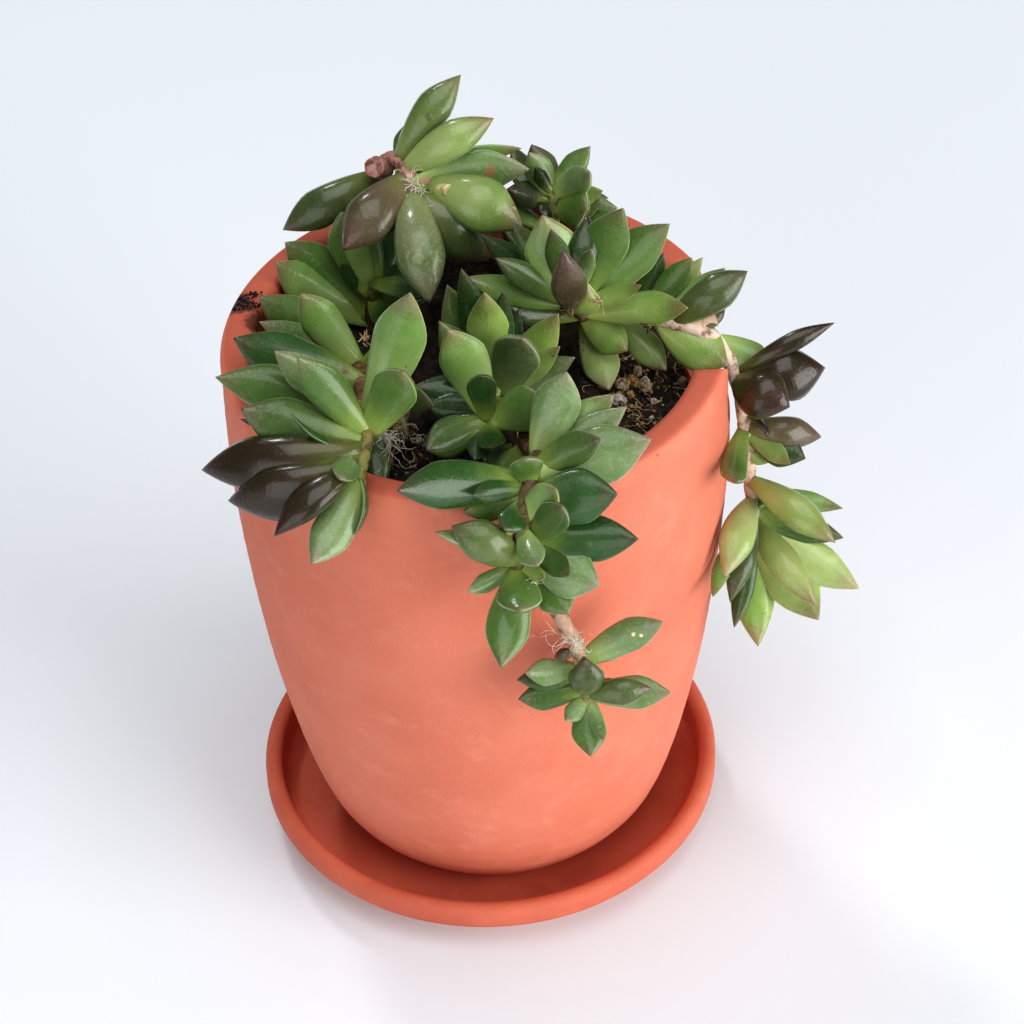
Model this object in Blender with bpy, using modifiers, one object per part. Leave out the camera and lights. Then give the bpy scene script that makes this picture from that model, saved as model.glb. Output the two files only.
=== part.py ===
"""Sand rose in a terracotta pot on its saucer. Metres, +Z up, origin under the saucer's centre."""
from math import cos, exp, pi, radians, sin

import bmesh
import bpy
from mathutils import Matrix, Vector

MM = 0.001
GAP = 0.3 * MM

# Saucer
SAUCER_HEIGHT = 14 * MM
SAUCER_LIP_RADIUS = 51.5 * MM
SAUCER_LIP_THICKNESS = 3.8 * MM
SAUCER_BAND_HEIGHT = 3.2 * MM
SAUCER_BASE_RADIUS = 38 * MM
SAUCER_FLOOR = 4 * MM
SAUCER_COVE = 3 * MM
SAUCER_UNDERCUT = 1.8 * MM

# Pot: outside radius at each height above its base
POT_CENTRE = Vector((0.77 * MM, -0.93 * MM, SAUCER_FLOOR + GAP))
POT_HEIGHT = 129.4 * MM
POT_RIM_RADIUS = 52.5 * MM
POT_OUTSIDE = (
    (52.6 * MM, 101.4 * MM), (51 * MM, 77.3 * MM), (48.3 * MM, 53.1 * MM), (45 * MM, 33.8 * MM),
    (41.7 * MM, 19.3 * MM), (38.5 * MM, 9.7 * MM), (34.5 * MM, 3.9 * MM), (31.4 * MM, 0),
)
POT_WALL = 6.7 * MM
POT_FLOOR = 8 * MM
DRAIN_RADIUS = 5 * MM
RIM_ROUNDING = 2 * MM
ROUND_STEPS = 40
SOIL_STEPS = 24

# Notch in the rim at +X, which the right-hand stem hangs out through
NOTCH_FRONT = -12 * MM
NOTCH_BACK = 20 * MM
NOTCH_DEPTH = 20 * MM
NOTCH_CORNER = 7 * MM
NOTCH_FLARE = 4 * MM
NOTCH_REACH = 30 * MM

# Soil
SOIL_TOP = 120 * MM
SOIL_DIP = 7.5 * MM
SOIL_BUMP = 0.7 * MM
SOIL_SLOPE_START = 22 * MM
SOIL_SLOPE_END = 40 * MM

# Plant
STEM_RADIUS = 1.9 * MM
STEM_TIP_RADIUS = 1.3 * MM
STEM_POINTS = 2
LEAF_STATIONS = (0, 0.3, 0.62, 0.87)
LEAF_SIDES = ((0, 1), (1, 2), (2, 3), (3, 0))
LEAF_NECK = 0.36
LEAF_BROADEST = 0.62
LEAF_BOW = 0.12
LEAF_THICKNESS = 0.34
GOLDEN_ANGLE = radians(137.5)

# The plant is described as it is seen from the front, 42 degrees above the table
VIEW_PITCH = radians(42)
VIEW_RIGHT = Vector((1, 0, 0))
VIEW_UP = Vector((0, sin(VIEW_PITCH), cos(VIEW_PITCH)))
VIEW_OUT = Vector((0, -cos(VIEW_PITCH), sin(VIEW_PITCH)))

# One table for each sprig, in millimetres and degrees. A stem is a few points from the soil to its
# tip. A leaf is its stem's number, its place along it from 0 to 1, its heading in the view (0 to the
# right, 90 upward), its lean out of the view toward the viewer, its length, its width and its turn
# about its own length (0 shows the upper face, 180 the keel). A whorl grows round a stem by rule: the
# stem's number, the first and last place along it, the number of leaves, their length and width, their
# splay from the stem, the first leaf's turn about it, and the leaves that its crowded side lacks.
TOP_LEFT = {
    "stems": (
        ((-15, 31, 114), (-19, 34, 134), (-19.5, 36, 147), (-15.5, 35.5, 153), (-12.5, 30, 154),
         (-11.5, 24, 152)),
        ((-12.5, 28, 153), (-6, 26.5, 152), (-4, 26, 152)),
    ),
    "leaves": (
        (0, 0.82, 51, 13, 22.5, 7.5, 180), (0, 0.84, 54, 34, 14, 5, 0), (0, 0.80, 77, -10, 7.5, 2.5, 0),
        (0, 0.75, 126, 0, 1.5, 3, 0), (0, 0.88, 26, 15, 22, 8, 180), (1, 0.20, 15, -5, 24, 5, 40),
        (0, 0.97, 6, 5, 25.5, 9, 25), (1, 0.61, -28, 10, 22, 11.5, 180), (0, 1.00, -42, -15, 22, 11, 180),
        (0, 1.00, -82, 20, 25.5, 10.5, 180), (1, 0.00, -131, 22, 22, 10.5, 180),
        (0, 0.65, -152, 0, 23, 8.5, 180),
    ),
    "whorls": (
        (0, 0.45, 0.97, 13, 18, 7, 62, 30, (0, 1, 3, 4, 5, 6, 8, 10, 11)),
    ),
}

LEFT = {
    "stems": (
        ((-24, 10, 114), (-23.5, 2, 125), (-22.5, -12, 132), (-21.5, -26, 137.5), (-20.5, -37, 140.5),
         (-21.5, -44, 140), (-22.5, -49, 137.5)),
        ((-22, -28, 138), (-28, -35, 139.5), (-34, -39, 139)),
    ),
    "leaves": (
        (0, 0.20, 144, 8, 25.5, 10.5, 0), (0, 0.24, 154, 6, 23, 6.5, 0), (0, 0.29, 126, 30, 22, 8.5, 0),
        (0, 0.47, 158, 8, 28, 11.5, 0), (1, 0.05, 165, 4, 29.5, 9.5, 0), (1, 0.14, 140, 14, 20.5, 7, 0),
        (0, 0.86, 128, 28, 23, 8, 0), (0, 0.78, 68, 30, 30.5, 10.5, 0), (0, 0.84, 54, 50, 21.5, 9.5, 0),
        (0, 0.90, 160, 6, 25.5, 11, 0), (0, 0.90, 152, 24, 17, 3, 70), (0, 0.92, -169, 6, 21, 6.5, 0),
        (0, 0.91, 163, -14, 26.5, 5, 0), (0, 0.91, -176, -12, 33.5, 11, 180),
        (0, 0.95, -167, -10, 28, 11.5, 160), (0, 0.96, -143, 10, 22, 7, 200),
        (0, 0.99, -120, 14, 20, 8.5, 0), (0, 0.99, -97, 4, 11.5, 3.5, 90),
        (0, 0.89, -126, 56, 14, 5.5, 0),
    ),
    "whorls": (
        (0, 0.25, 0.97, 14, 18, 7.5, 60, 165, (0, 2, 4, 5, 7, 10, 11, 12, 13)),
    ),
}

LEFT_BACK = {
    "stems": (
        ((-21, 20, 114), (-21, 21, 124), (-20, 19, 133)),
    ),
    "leaves": (
        (0, 0.44, 138, 28, 26.5, 10, 0), (0, 0.39, 148, 32, 27, 10, 0), (0, 0.39, 136, 10, 17, 9, 0),
        (0, 0.80, 109, 30, 20.5, 11.5, 0), (0, 0.76, 104, 52, 20.5, 5, 0),
        (0, 0.44, 78, 22, 11.5, 5.5, 0), (0, 0.64, 33, 22, 12.5, 8.5, 0),
        (0, 0.68, 129, 44, 13.5, 3.5, 0), (0, 0.52, -15, -2, 7, 6.5, 0),
    ),
    "whorls": (
        (0, 0.35, 1, 8, 15, 7, 60, 15, (0, 1, 3, 6)),
    ),
}

CENTRE = {
    "stems": (
        ((4, -4, 114), (4, -11, 124), (3.5, -21, 131), (3, -29, 134)),
    ),
    "leaves": (
        (0, 0.43, 92, 34, 26.5, 8.5, 0), (0, 0.94, 113, 36, 23.5, 9.5, 0), (0, 0.40, 60, 58, 25.5, 10, 0),
        (0, 0.43, 51, 20, 24, 7.5, 0), (0, 1.00, 96, 60, 17.5, 6, 0), (0, 1.00, 18, 40, 15.5, 9, 0),
        (0, 0.40, 27, 4, 19.5, 6.5, 0), (0, 0.43, 72, 6, 20.5, 6, 0), (0, 0.50, 121, 12, 20.5, 7.5, 0),
        (0, 0.62, 165, -4, 17, 8.5, 0), (0, 0.88, 169, -12, 13.5, 7, 0), (0, 1.00, -158, 20, 14.5, 8, 0),
        (0, 1.00, -163, -6, 14.5, 7.5, 0), (0, 1.00, -84, 54, 9, 5.5, 0), (0, 1.00, -112, 24, 9, 5, 0),
        (0, 0.43, 109, 12, 26.5, 8, 0), (0, 0.40, 37, 30, 20.5, 5, 0), (0, 0.45, 101, 22, 30, 6.5, 0),
        (0, 0.50, 82, 22, 24.5, 6, 0),
    ),
    "whorls": (
        (0, 0.45, 0.99, 12, 15, 7, 62, 120, (3, 4, 5, 6, 7, 8, 10, 11)),
    ),
}

FRONT = {
    "stems": (
        ((8, -16, 114), (10, -28, 127), (12.5, -42, 136.5), (11.5, -50, 139.5), (9, -58, 135.5),
         (8, -62, 127), (7.8, -63, 123)),
        ((9, -60, 131), (12, -59.5, 121), (15.5, -59.5, 110), (19, -60, 100), (20.5, -61, 90),
         (20.8, -62, 87)),
    ),
    "leaves": (
        (0, 0.58, 69, 22, 19, 9.5, 0), (0, 0.59, 38, -6, 20, 7.5, 0), (0, 0.64, 31, -8, 22, 7, 0),
        (0, 0.68, 15, 2, 24.5, 11.5, 0), (0, 0.65, 21, 28, 16, 7, 0), (0, 0.66, -19, 4, 11, 6, 0),
        (0, 0.71, 95, 50, 8, 6.5, 0), (0, 0.70, -178, 26, 28.5, 9.5, 0),
        (0, 0.72, -174, 30, 12.5, 4.5, 0), (0, 0.81, 38, 42, 11.5, 6.5, 0), (0, 0.77, 4, 10, 18.5, 11, 0),
        (1, 0.04, 0, 2, 22, 9.5, 0), (1, 0.06, 48, 56, 18, 7, 0), (0, 0.76, -128, 34, 8.5, 6, 0),
        (0, 0.74, -166, 0, 13, 6.5, 0), (0, 0.82, -175, 2, 17, 7, 60), (0, 0.94, 151, 18, 15.5, 8.5, 180),
        (0, 0.84, -69, 46, 11.5, 5.5, 0), (1, 0.06, -37, 38, 12.5, 5, 0), (1, 0.11, -27, 12, 15, 10, 0),
        (1, 0.19, -59, 14, 11.5, 8, 0), (0, 0.96, -102, 12, 20.5, 8.5, 0), (0, 0.96, -91, 46, 12.5, 9, 0),
        (0, 0.96, -155, 12, 11.5, 4, 0), (0, 0.95, -33, 48, 8.5, 3, 0), (0, 0.16, -147, 52, 13, 7.5, 0),
        (1, 0.77, 24, 14, 19, 7, 0), (1, 0.71, -167, -8, 5, 2.5, 180), (1, 0.81, -178, 14, 12, 5.5, 0),
        (1, 0.83, -175, -2, 13.5, 5.5, 0), (1, 0.92, -173, 6, 14, 6, 0), (1, 0.94, 90, 44, 10, 7.5, 180),
        (1, 0.96, -134, 34, 8, 4, 0), (1, 0.96, -89, 10, 12.5, 7, 0), (1, 0.96, -72, 30, 11, 3, 0),
        (1, 0.95, 3, 10, 13.5, 5.5, 180), (1, 0.95, -2, -8, 17.5, 7, 0), (1, 0.93, 10, 4, 7.5, 2.5, 0),
    ),
    "whorls": (
        (0, 0.3, 0.97, 12, 15, 7, 62, 135, (2, 3, 4, 5, 6, 7, 8, 9, 10, 11)),
        (1, 0.8, 1, 6, 11, 5, 62, 225, (1, 3, 4, 5)),
    ),
}

RIGHT = {
    "stems": (
        ((25, 14, 114), (24, 10, 127), (22.2, 3, 137), (20.9, -1, 141)),
        ((24.5, 11, 125), (30, 8, 131), (37, 3.6, 133.5), (44, 1, 133), (50.1, -1.5, 130.5),
         (54.5, -5, 122.5), (56, -8, 113), (57.3, -8, 99), (58, -8, 90), (58.3, -8, 86)),
    ),
    "leaves": (
        (0, 1.00, 164, 6, 23, 6, 0), (0, 1.00, 148, 20, 19.5, 5.5, 0), (0, 1.00, 124, 0, 21, 6.5, 0),
        (0, 1.00, 105, 34, 18.5, 5, 0), (0, 1.00, 107, 18, 20, 11, 0), (0, 1.00, 101, 64, 22.5, 7.5, 180),
        (0, 0.82, 71, 66, 12, 9, 180), (0, 0.92, 61, 30, 24.5, 9.5, 0), (0, 0.92, 80, 12, 19, 6.5, 180),
        (0, 0.91, 55, 20, 18, 5, 0), (0, 0.92, 38, 14, 26, 10, 0), (0, 0.91, 13, 30, 16, 4, 0),
        (0, 0.71, -2, 24, 24, 7.5, 0), (0, 1.00, 69, 50, 17, 4, 0), (0, 0.88, 22, 2, 14, 5, 0),
        (0, 0.61, -42, 16, 12.5, 7.5, 0), (0, 0.50, -74, 18, 16.5, 8, 0),
        (1, 0.11, -51, 12, 16.5, 6.5, 0), (1, 0.24, -38, 18, 18.5, 10, 0),
        (1, 0.40, -31, -2, 14.5, 7.5, 0), (1, 0.28, 31, 14, 19, 8, 180), (1, 0.26, 38, 4, 16.5, 4.5, 0),
        (1, 0.37, 52, -4, 7.5, 3, 180), (1, 0.18, 64, 4, 14, 5, 0), (1, 0.21, 50, 14, 15.5, 5.5, 0),
        (1, 0.24, 51, -4, 16, 4.5, 0), (1, 0.51, 25, 8, 23.5, 4, 180), (1, 0.55, 11, 6, 18.5, 11, 180),
        (1, 0.53, -31, 32, 14, 11, 180), (1, 0.63, -46, 30, 8, 3.5, 100),
        (1, 0.66, -10, -12, 17, 6.5, 180), (1, 0.68, -27, 12, 14, 7.5, 0), (1, 0.67, -42, 26, 13, 4.5, 0),
        (1, 0.73, -36, 0, 6, 4, 0), (1, 0.66, -107, 64, 28, 6, 0), (1, 0.85, -40, 24, 24, 7, 180),
        (1, 0.89, -13, 4, 20, 4.5, 0), (1, 0.96, -19, 0, 20.5, 6.5, 0), (1, 1.00, -35, 8, 27, 9, 0),
        (1, 1.00, -57, 24, 24.5, 7, 180), (1, 1.00, -59, 6, 25.5, 11, 0), (1, 1.00, -90, 0, 27, 9, 0),
        (1, 0.95, -107, 22, 22.5, 6.5, 180), (1, 0.92, -114, 35, 22, 7.5, 180),
        (1, 1.00, -103, 8, 23.5, 5, 0), (1, 0.95, -119, 41, 28, 4, 0), (0, 0.85, 141, 2, 25, 6.5, 0),
    ),
    "whorls": (
        (0, 0.45, 1, 12, 17, 7.5, 60, 255, (0, 2, 5, 7, 8, 9, 10, 11)),
        (1, 0.2, 1, 18, 17, 7, 60, 180, (0, 1, 2, 3, 4, 5, 6, 7, 9, 10, 11, 12, 13, 15, 17)),
    ),
}

BACK = {
    "stems": (
        ((14, 30, 114), (17.5, 35, 130), (18.3, 37, 141)),
    ),
    "leaves": (
        (0, 1.00, 111, -8, 12, 7, 0), (0, 1.00, 50, 2, 13, 5.5, 0), (0, 1.00, 24, 44, 12, 6.5, 0),
        (0, 0.94, 164, 14, 10.5, 6, 0), (0, 0.97, 117, 22, 11.5, 6, 0), (0, 0.91, -14, 48, 11, 9, 0),
        (0, 0.94, 8, 20, 11.5, 4.5, 0), (0, 0.88, 3, 16, 11, 6, 0), (0, 0.88, -2, 4, 14, 6, 0),
        (0, 0.97, 0, -22, 13, 5, 0), (0, 1.00, 124, 34, 8, 3, 0), (0, 0.97, 23, 20, 8.5, 3.5, 0),
        (0, 0.91, -151, 30, 4, 4.5, 0), (0, 0.85, -14, 15, 17.5, 4.5, 0),
    ),
    "whorls": (
        (0, 0.5, 1, 12, 14, 7, 60, 105, (2, 4, 6, 7, 8, 9, 11)),
    ),
}

SPRIGS = {
    "sprig_top_left": TOP_LEFT,
    "sprig_left": LEFT,
    "sprig_left_back": LEFT_BACK,
    "sprig_centre": CENTRE,
    "sprig_front": FRONT,
    "sprig_right": RIGHT,
    "sprig_back": BACK,
}


def clear_scene():
    for obj in list(bpy.data.objects):
        bpy.data.objects.remove(obj, do_unlink=True)


def new_collection(name):
    collection = bpy.data.collections.new(name)
    bpy.context.scene.collection.children.link(collection)
    return collection


def new_object(name, data, collection):
    obj = bpy.data.objects.new(name, data)
    collection.objects.link(obj)
    return obj


def plain_material(name, colour, roughness):
    material = bpy.data.materials.new(name)
    material.use_nodes = True
    shader = material.node_tree.nodes["Principled BSDF"]
    shader.inputs["Base Color"].default_value = (*colour, 1)
    shader.inputs["Roughness"].default_value = roughness
    shader.inputs["Metallic"].default_value = 0
    return material


def arc(centre, radius, start, end, steps):
    """Points of an arc in a profile plane, its angles in degrees."""
    turns = [radians(start + (end - start) * step / steps) for step in range(steps + 1)]
    return [(centre[0] + radius * cos(turn), centre[1] + radius * sin(turn)) for turn in turns]


def turned(name, profile, collection, closed=True, steps=ROUND_STEPS):
    """A profile of (radius, height) points, run down its outer side, turned about Z."""
    edges = [(i, i + 1) for i in range(len(profile) - 1)]
    if closed:
        edges.append((len(profile) - 1, 0))
    mesh = bpy.data.meshes.new(name)
    mesh.from_pydata([(radius, 0, height) for radius, height in profile], edges, [])
    obj = new_object(name, mesh, collection)
    screw = obj.modifiers.new("turn", "SCREW")
    screw.steps = steps
    screw.render_steps = steps
    screw.use_merge_vertices = not closed
    screw.merge_threshold = 0.01 * MM
    screw.use_smooth_shade = True
    return obj


def make_saucer(collection):
    lip = SAUCER_LIP_THICKNESS / 2
    lip_centre = (SAUCER_LIP_RADIUS - lip, SAUCER_HEIGHT - lip)
    band_bottom = SAUCER_HEIGHT - lip - SAUCER_BAND_HEIGHT
    inside = SAUCER_LIP_RADIUS - SAUCER_LIP_THICKNESS
    profile = [
        (0, SAUCER_FLOOR),
        (inside - SAUCER_COVE, SAUCER_FLOOR),
        (inside - SAUCER_COVE / 4, SAUCER_FLOOR + SAUCER_COVE * 0.7),
        *arc(lip_centre, lip, 180, 0, 4),
        (SAUCER_LIP_RADIUS, band_bottom),
        (SAUCER_LIP_RADIUS - SAUCER_UNDERCUT, band_bottom - SAUCER_UNDERCUT),
        (SAUCER_BASE_RADIUS + SAUCER_COVE, SAUCER_COVE * 0.7),
        (SAUCER_BASE_RADIUS, 0),
        (0, 0),
    ]
    return turned("saucer", profile, collection, closed=False)


def notch_cutter(collection):
    """A U with flared tops, drawn in the YZ plane and pushed out along X."""
    top = POT_CENTRE.z + POT_HEIGHT
    bottom = top - NOTCH_DEPTH
    over = top + NOTCH_FLARE
    flare_z = top - NOTCH_FLARE
    outline = [
        (NOTCH_FRONT - 2 * NOTCH_FLARE, over),
        *arc((NOTCH_FRONT - NOTCH_FLARE, flare_z), NOTCH_FLARE, 90, 0, 4),
        *arc((NOTCH_FRONT + NOTCH_CORNER, bottom + NOTCH_CORNER), NOTCH_CORNER, 180, 270, 4),
        *arc((NOTCH_BACK - NOTCH_CORNER, bottom + NOTCH_CORNER), NOTCH_CORNER, 270, 360, 4),
        *arc((NOTCH_BACK + NOTCH_FLARE, flare_z), NOTCH_FLARE, 180, 90, 4),
        (NOTCH_BACK + 2 * NOTCH_FLARE, over),
    ]
    curve = bpy.data.curves.new("notch_outline", "CURVE")
    curve.dimensions = "2D"
    curve.fill_mode = "BOTH"
    curve.extrude = NOTCH_REACH / 2
    spline = curve.splines.new("POLY")
    spline.points.add(len(outline) - 1)
    for point, (y, z) in zip(spline.points, outline):
        point.co = (y, z, 0, 1)
    spline.use_cyclic_u = True
    obj = new_object("notch_outline", curve, collection)
    obj.matrix_world = Matrix(((0, 0, 1, POT_RIM_RADIUS), (1, 0, 0, 0), (0, 1, 0, 0), (0, 0, 0, 1)))
    cutter = mesh_from_curve(obj, "notch_cutter", collection)
    cutter.hide_render = True
    cutter.display_type = "WIRE"
    return cutter


def mesh_from_curve(obj, name, collection):
    """The curve's own surface as a closed mesh object in the curve's place."""
    bpy.context.view_layer.update()
    mesh = bpy.data.meshes.new_from_object(obj.evaluated_get(bpy.context.evaluated_depsgraph_get()))
    shape = bmesh.new()
    shape.from_mesh(mesh)
    bmesh.ops.remove_doubles(shape, verts=shape.verts, dist=0.001 * MM)
    bmesh.ops.recalc_face_normals(shape, faces=shape.faces)
    shape.to_mesh(mesh)
    shape.free()
    solid = new_object(name, mesh, collection)
    solid.matrix_world = obj.matrix_world
    bpy.data.objects.remove(obj, do_unlink=True)
    return solid


def pot_inside(clearance):
    """The inner wall below the rim, top to bottom, beside every second outside point."""
    wall = [(radius - POT_WALL - clearance, height) for radius, height in POT_OUTSIDE[::2]]
    return [*wall[:-1], (wall[-1][0] + 3 * MM, POT_FLOOR + min(clearance, GAP))]


def make_pot(collection, cutters):
    rim = POT_RIM_RADIUS
    inner = rim - POT_WALL
    top = POT_HEIGHT - RIM_ROUNDING
    profile = [
        *arc((inner + RIM_ROUNDING, top), RIM_ROUNDING, 180, 90, 2),
        *arc((rim - RIM_ROUNDING, top), RIM_ROUNDING, 90, 0, 2),
        *POT_OUTSIDE,
        (DRAIN_RADIUS, 0),
        (DRAIN_RADIUS, POT_FLOOR),
        *reversed(pot_inside(0)),
    ]
    pot = turned("pot", profile, collection)
    pot.location = POT_CENTRE
    cut = pot.modifiers.new("notch", "BOOLEAN")
    cut.operation = "DIFFERENCE"
    cut.object = notch_cutter(cutters)
    return pot


def soil_height(x, y):
    """Rough ground that slopes down to the notch."""
    aside = (y - (NOTCH_FRONT + NOTCH_BACK) / 2) / (NOTCH_BACK - NOTCH_FRONT)
    outward = min(max((x - SOIL_SLOPE_START) / (SOIL_SLOPE_END - SOIL_SLOPE_START), 0), 1)
    bumps = sin(x / (3.1 * MM)) * sin(y / (2.7 * MM) + 1) + 0.6 * sin((x + 2 * y) / (5.3 * MM))
    return SOIL_TOP + SOIL_BUMP * bumps - SOIL_DIP * outward * exp(-2 * aside * aside)


def make_soil(collection, cutters):
    """Fills the pot from its floor up, 0.3 mm clear of the wall, with a plain hole for each stem."""
    top = SOIL_TOP - POT_CENTRE.z
    side = pot_inside(2 * GAP)
    upper = side[0][0]
    profile = [
        *[(upper * step / 4, top) for step in range(5)],
        *side,
        (0, side[-1][1]),
    ]
    ground = turned("soil_ground", profile, collection, closed=False, steps=SOIL_STEPS)
    bpy.context.view_layer.update()
    mesh = bpy.data.meshes.new_from_object(ground.evaluated_get(bpy.context.evaluated_depsgraph_get()))
    bpy.data.objects.remove(ground, do_unlink=True)
    for vertex in mesh.vertices:
        vertex.co += POT_CENTRE
        if vertex.co.z > SOIL_TOP - 0.1 * MM:
            vertex.co.z = soil_height(vertex.co.x, vertex.co.y)
    soil = new_object("soil", mesh, collection)
    for name, sprig in SPRIGS.items():
        for number, points in enumerate(sprig["stems"]):
            if points[0][2] * MM < SOIL_TOP:
                bore = stem_tube(f"{name}_bore_{number}", points[:3], cutters, GAP + 0.1 * MM)
                bore.hide_render = True
                bore.display_type = "WIRE"
                cut = soil.modifiers.new(bore.name, "BOOLEAN")
                cut.operation = "DIFFERENCE"
                cut.object = bore
    return soil


def stem_path(points):
    """A smooth path through a stem's points, straight through the ground."""
    knots = [Vector(point) * MM for point in points]
    knots = [2 * knots[0] - knots[1], *knots, 2 * knots[-1] - knots[-2]]
    path = []
    for before, start, end, after in zip(knots, knots[1:], knots[2:], knots[3:]):
        for step in range(STEM_POINTS):
            t = step / STEM_POINTS
            path.append(
                0.5 * (2 * start + (end - before) * t
                       + (2 * before - 5 * start + 4 * end - after) * t ** 2
                       + (3 * start - before - 3 * end + after) * t ** 3)
            )
    return [*path, knots[-2]]


def along_path(path, part):
    """The point at a part of the path's length, and the path's direction there."""
    lengths = [(b - a).length for a, b in zip(path, path[1:])]
    left = part * sum(lengths)
    for a, b, length in zip(path, path[1:], lengths):
        if left <= length:
            return a.lerp(b, left / length), (b - a).normalized()
        left -= length
    return path[-1], (path[-1] - path[-2]).normalized()


def stem_tube(name, points, collection, extra=0):
    path = stem_path(points)
    if extra:
        path[0] = path[0] + (path[0] - path[1]).normalized() * extra
    curve = bpy.data.curves.new(name, "CURVE")
    curve.dimensions = "3D"
    curve.bevel_depth = 1
    curve.bevel_resolution = 2
    curve.use_fill_caps = True
    spline = curve.splines.new("POLY")
    spline.points.add(len(path) - 1)
    for step, (point, place) in enumerate(zip(spline.points, path)):
        taper = 0 if extra else step / (len(path) - 1)
        point.co = (*place, 1)
        point.radius = STEM_RADIUS + (STEM_TIP_RADIUS - STEM_RADIUS) * taper + extra
    return mesh_from_curve(new_object(name + "_curve", curve, collection), name, collection)


def leaf_breadth(part):
    """Half-width along a leaf as a share of its greatest: a narrow neck, a broad end and a point."""
    if part < LEAF_BROADEST:
        return LEAF_NECK + (1 - LEAF_NECK) * sin(part / LEAF_BROADEST * pi / 2)
    return 1 - ((part - LEAF_BROADEST) / (1 - LEAF_BROADEST)) ** 2


def leaf_ring(part, length, width):
    """Four points round a leaf: a flat upper face and a blunt keel."""
    half = leaf_breadth(part) * width / 2
    depth = width * LEAF_THICKNESS * (0.75 + 0.25 * sin(pi * min(part * 1.2, 1)))
    depth *= 0.55 + 0.45 * leaf_breadth(part)
    middle = LEAF_BOW * length * 4 * part * (part - 1)
    section = ((-1, 0.2), (1, 0.2), (0.42, -0.8), (-0.42, -0.8))
    return [Vector((x * half, part * length, middle + z * depth)) for x, z in section]


def leaf_axes(heading, lean, turn):
    """Side, length and upper-face directions of a leaf given in degrees in the view."""
    flat = cos(radians(heading)) * VIEW_RIGHT + sin(radians(heading)) * VIEW_UP
    along = cos(radians(lean)) * flat + sin(radians(lean)) * VIEW_OUT
    face = (VIEW_OUT - VIEW_OUT.dot(along) * along).normalized()
    side = along.cross(face)
    face = cos(radians(turn)) * face + sin(radians(turn)) * side
    return along.cross(face), along, face


def whorl_leaves(paths, whorl):
    """Leaves grown round a stem at the golden angle, upper faces to its tip; bare ones are left out."""
    stem, first, last, count, length, width, splay, start, bare = whorl
    for number in range(count):
        if number in bare:
            continue
        part = first + (last - first) * number / (count - 1)
        base, tangent = along_path(paths[stem], part)
        across = tangent.cross(VIEW_RIGHT).normalized()
        radial = Matrix.Rotation(radians(start) + number * GOLDEN_ANGLE, 3, tangent) @ across
        along = cos(radians(splay)) * tangent + sin(radians(splay)) * radial
        face = (tangent - tangent.dot(along) * along).normalized()
        size = 1 - 0.12 * sin(number * 2.4)
        yield base, (along.cross(face), along, face), length * size * MM, width * size * MM


def make_leaf(name, base, axes, length, width, collection):
    side, along, face = axes
    place = Matrix((side, along, face)).transposed().to_4x4()
    place.translation = base
    shape = bmesh.new()
    rings = [[shape.verts.new(p) for p in leaf_ring(s, length, width)] for s in LEAF_STATIONS]
    tip = shape.verts.new((0, length, 0))
    shape.faces.new(rings[0])
    for lower, upper in zip(rings, rings[1:]):
        for i, j in LEAF_SIDES:
            shape.faces.new((lower[i], upper[i], upper[j], lower[j]))
    for i, j in LEAF_SIDES:
        shape.faces.new((rings[-1][i], tip, rings[-1][j]))
    bmesh.ops.triangulate(shape, faces=shape.faces)
    bmesh.ops.recalc_face_normals(shape, faces=shape.faces)
    shape.transform(place)
    mesh = bpy.data.meshes.new(name)
    shape.to_mesh(mesh)
    shape.free()
    return new_object(name, mesh, collection)


def fused(obj, pieces):
    """One body from an object and a collection of pieces, which is then removed."""
    join = obj.modifiers.new("join", "BOOLEAN")
    join.operation = "UNION"
    join.operand_type = "COLLECTION"
    join.collection = pieces
    join.solver = "EXACT"
    bpy.context.view_layer.update()
    mesh = bpy.data.meshes.new_from_object(obj.evaluated_get(bpy.context.evaluated_depsgraph_get()))
    obj.modifiers.clear()
    obj.data = mesh
    for piece in list(pieces.objects):
        bpy.data.objects.remove(piece, do_unlink=True)
    bpy.data.collections.remove(pieces)
    keep_outer_body(mesh)


def keep_outer_body(mesh):
    """Drops loose scraps and sealed hollows, and closes slivers."""
    shape = bmesh.new()
    shape.from_mesh(mesh)
    bmesh.ops.remove_doubles(shape, verts=shape.verts, dist=0.0002 * MM)
    bmesh.ops.dissolve_degenerate(shape, edges=shape.edges, dist=0.0002 * MM)
    bodies = []
    waiting = set(shape.verts)
    while waiting:
        body = set()
        front = [waiting.pop()]
        while front:
            vertex = front.pop()
            body.add(vertex)
            for edge in vertex.link_edges:
                other = edge.other_vert(vertex)
                if other in waiting:
                    waiting.discard(other)
                    front.append(other)
        bodies.append(body)
    largest = max(bodies, key=len)
    bmesh.ops.delete(shape, geom=[v for v in shape.verts if v not in largest], context="VERTS")
    bmesh.ops.triangulate(shape, faces=shape.faces)
    shape.to_mesh(mesh)
    shape.free()


def make_sprig(name, sprig, collection):
    """The stems and leaves of one sprig, joined in one body."""
    paths = [stem_path(points) for points in sprig["stems"]]
    body = stem_tube(name, sprig["stems"][0], collection)
    pieces = new_collection(name + "_pieces")
    for number, points in enumerate(sprig["stems"][1:]):
        stem_tube(f"{name}_branch_{number}", points, pieces)
    for number, (stem, part, heading, lean, length, width, turn) in enumerate(sprig["leaves"]):
        base, _ = along_path(paths[stem], part)
        axes = leaf_axes(heading, lean, turn)
        make_leaf(f"{name}_leaf_{number}", base, axes, length * MM, width * MM, pieces)
    for whorl in sprig["whorls"]:
        for number, leaf in enumerate(whorl_leaves(paths, whorl)):
            make_leaf(f"{name}_whorl_{number}", *leaf, pieces)
    fused(body, pieces)
    return body


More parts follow.
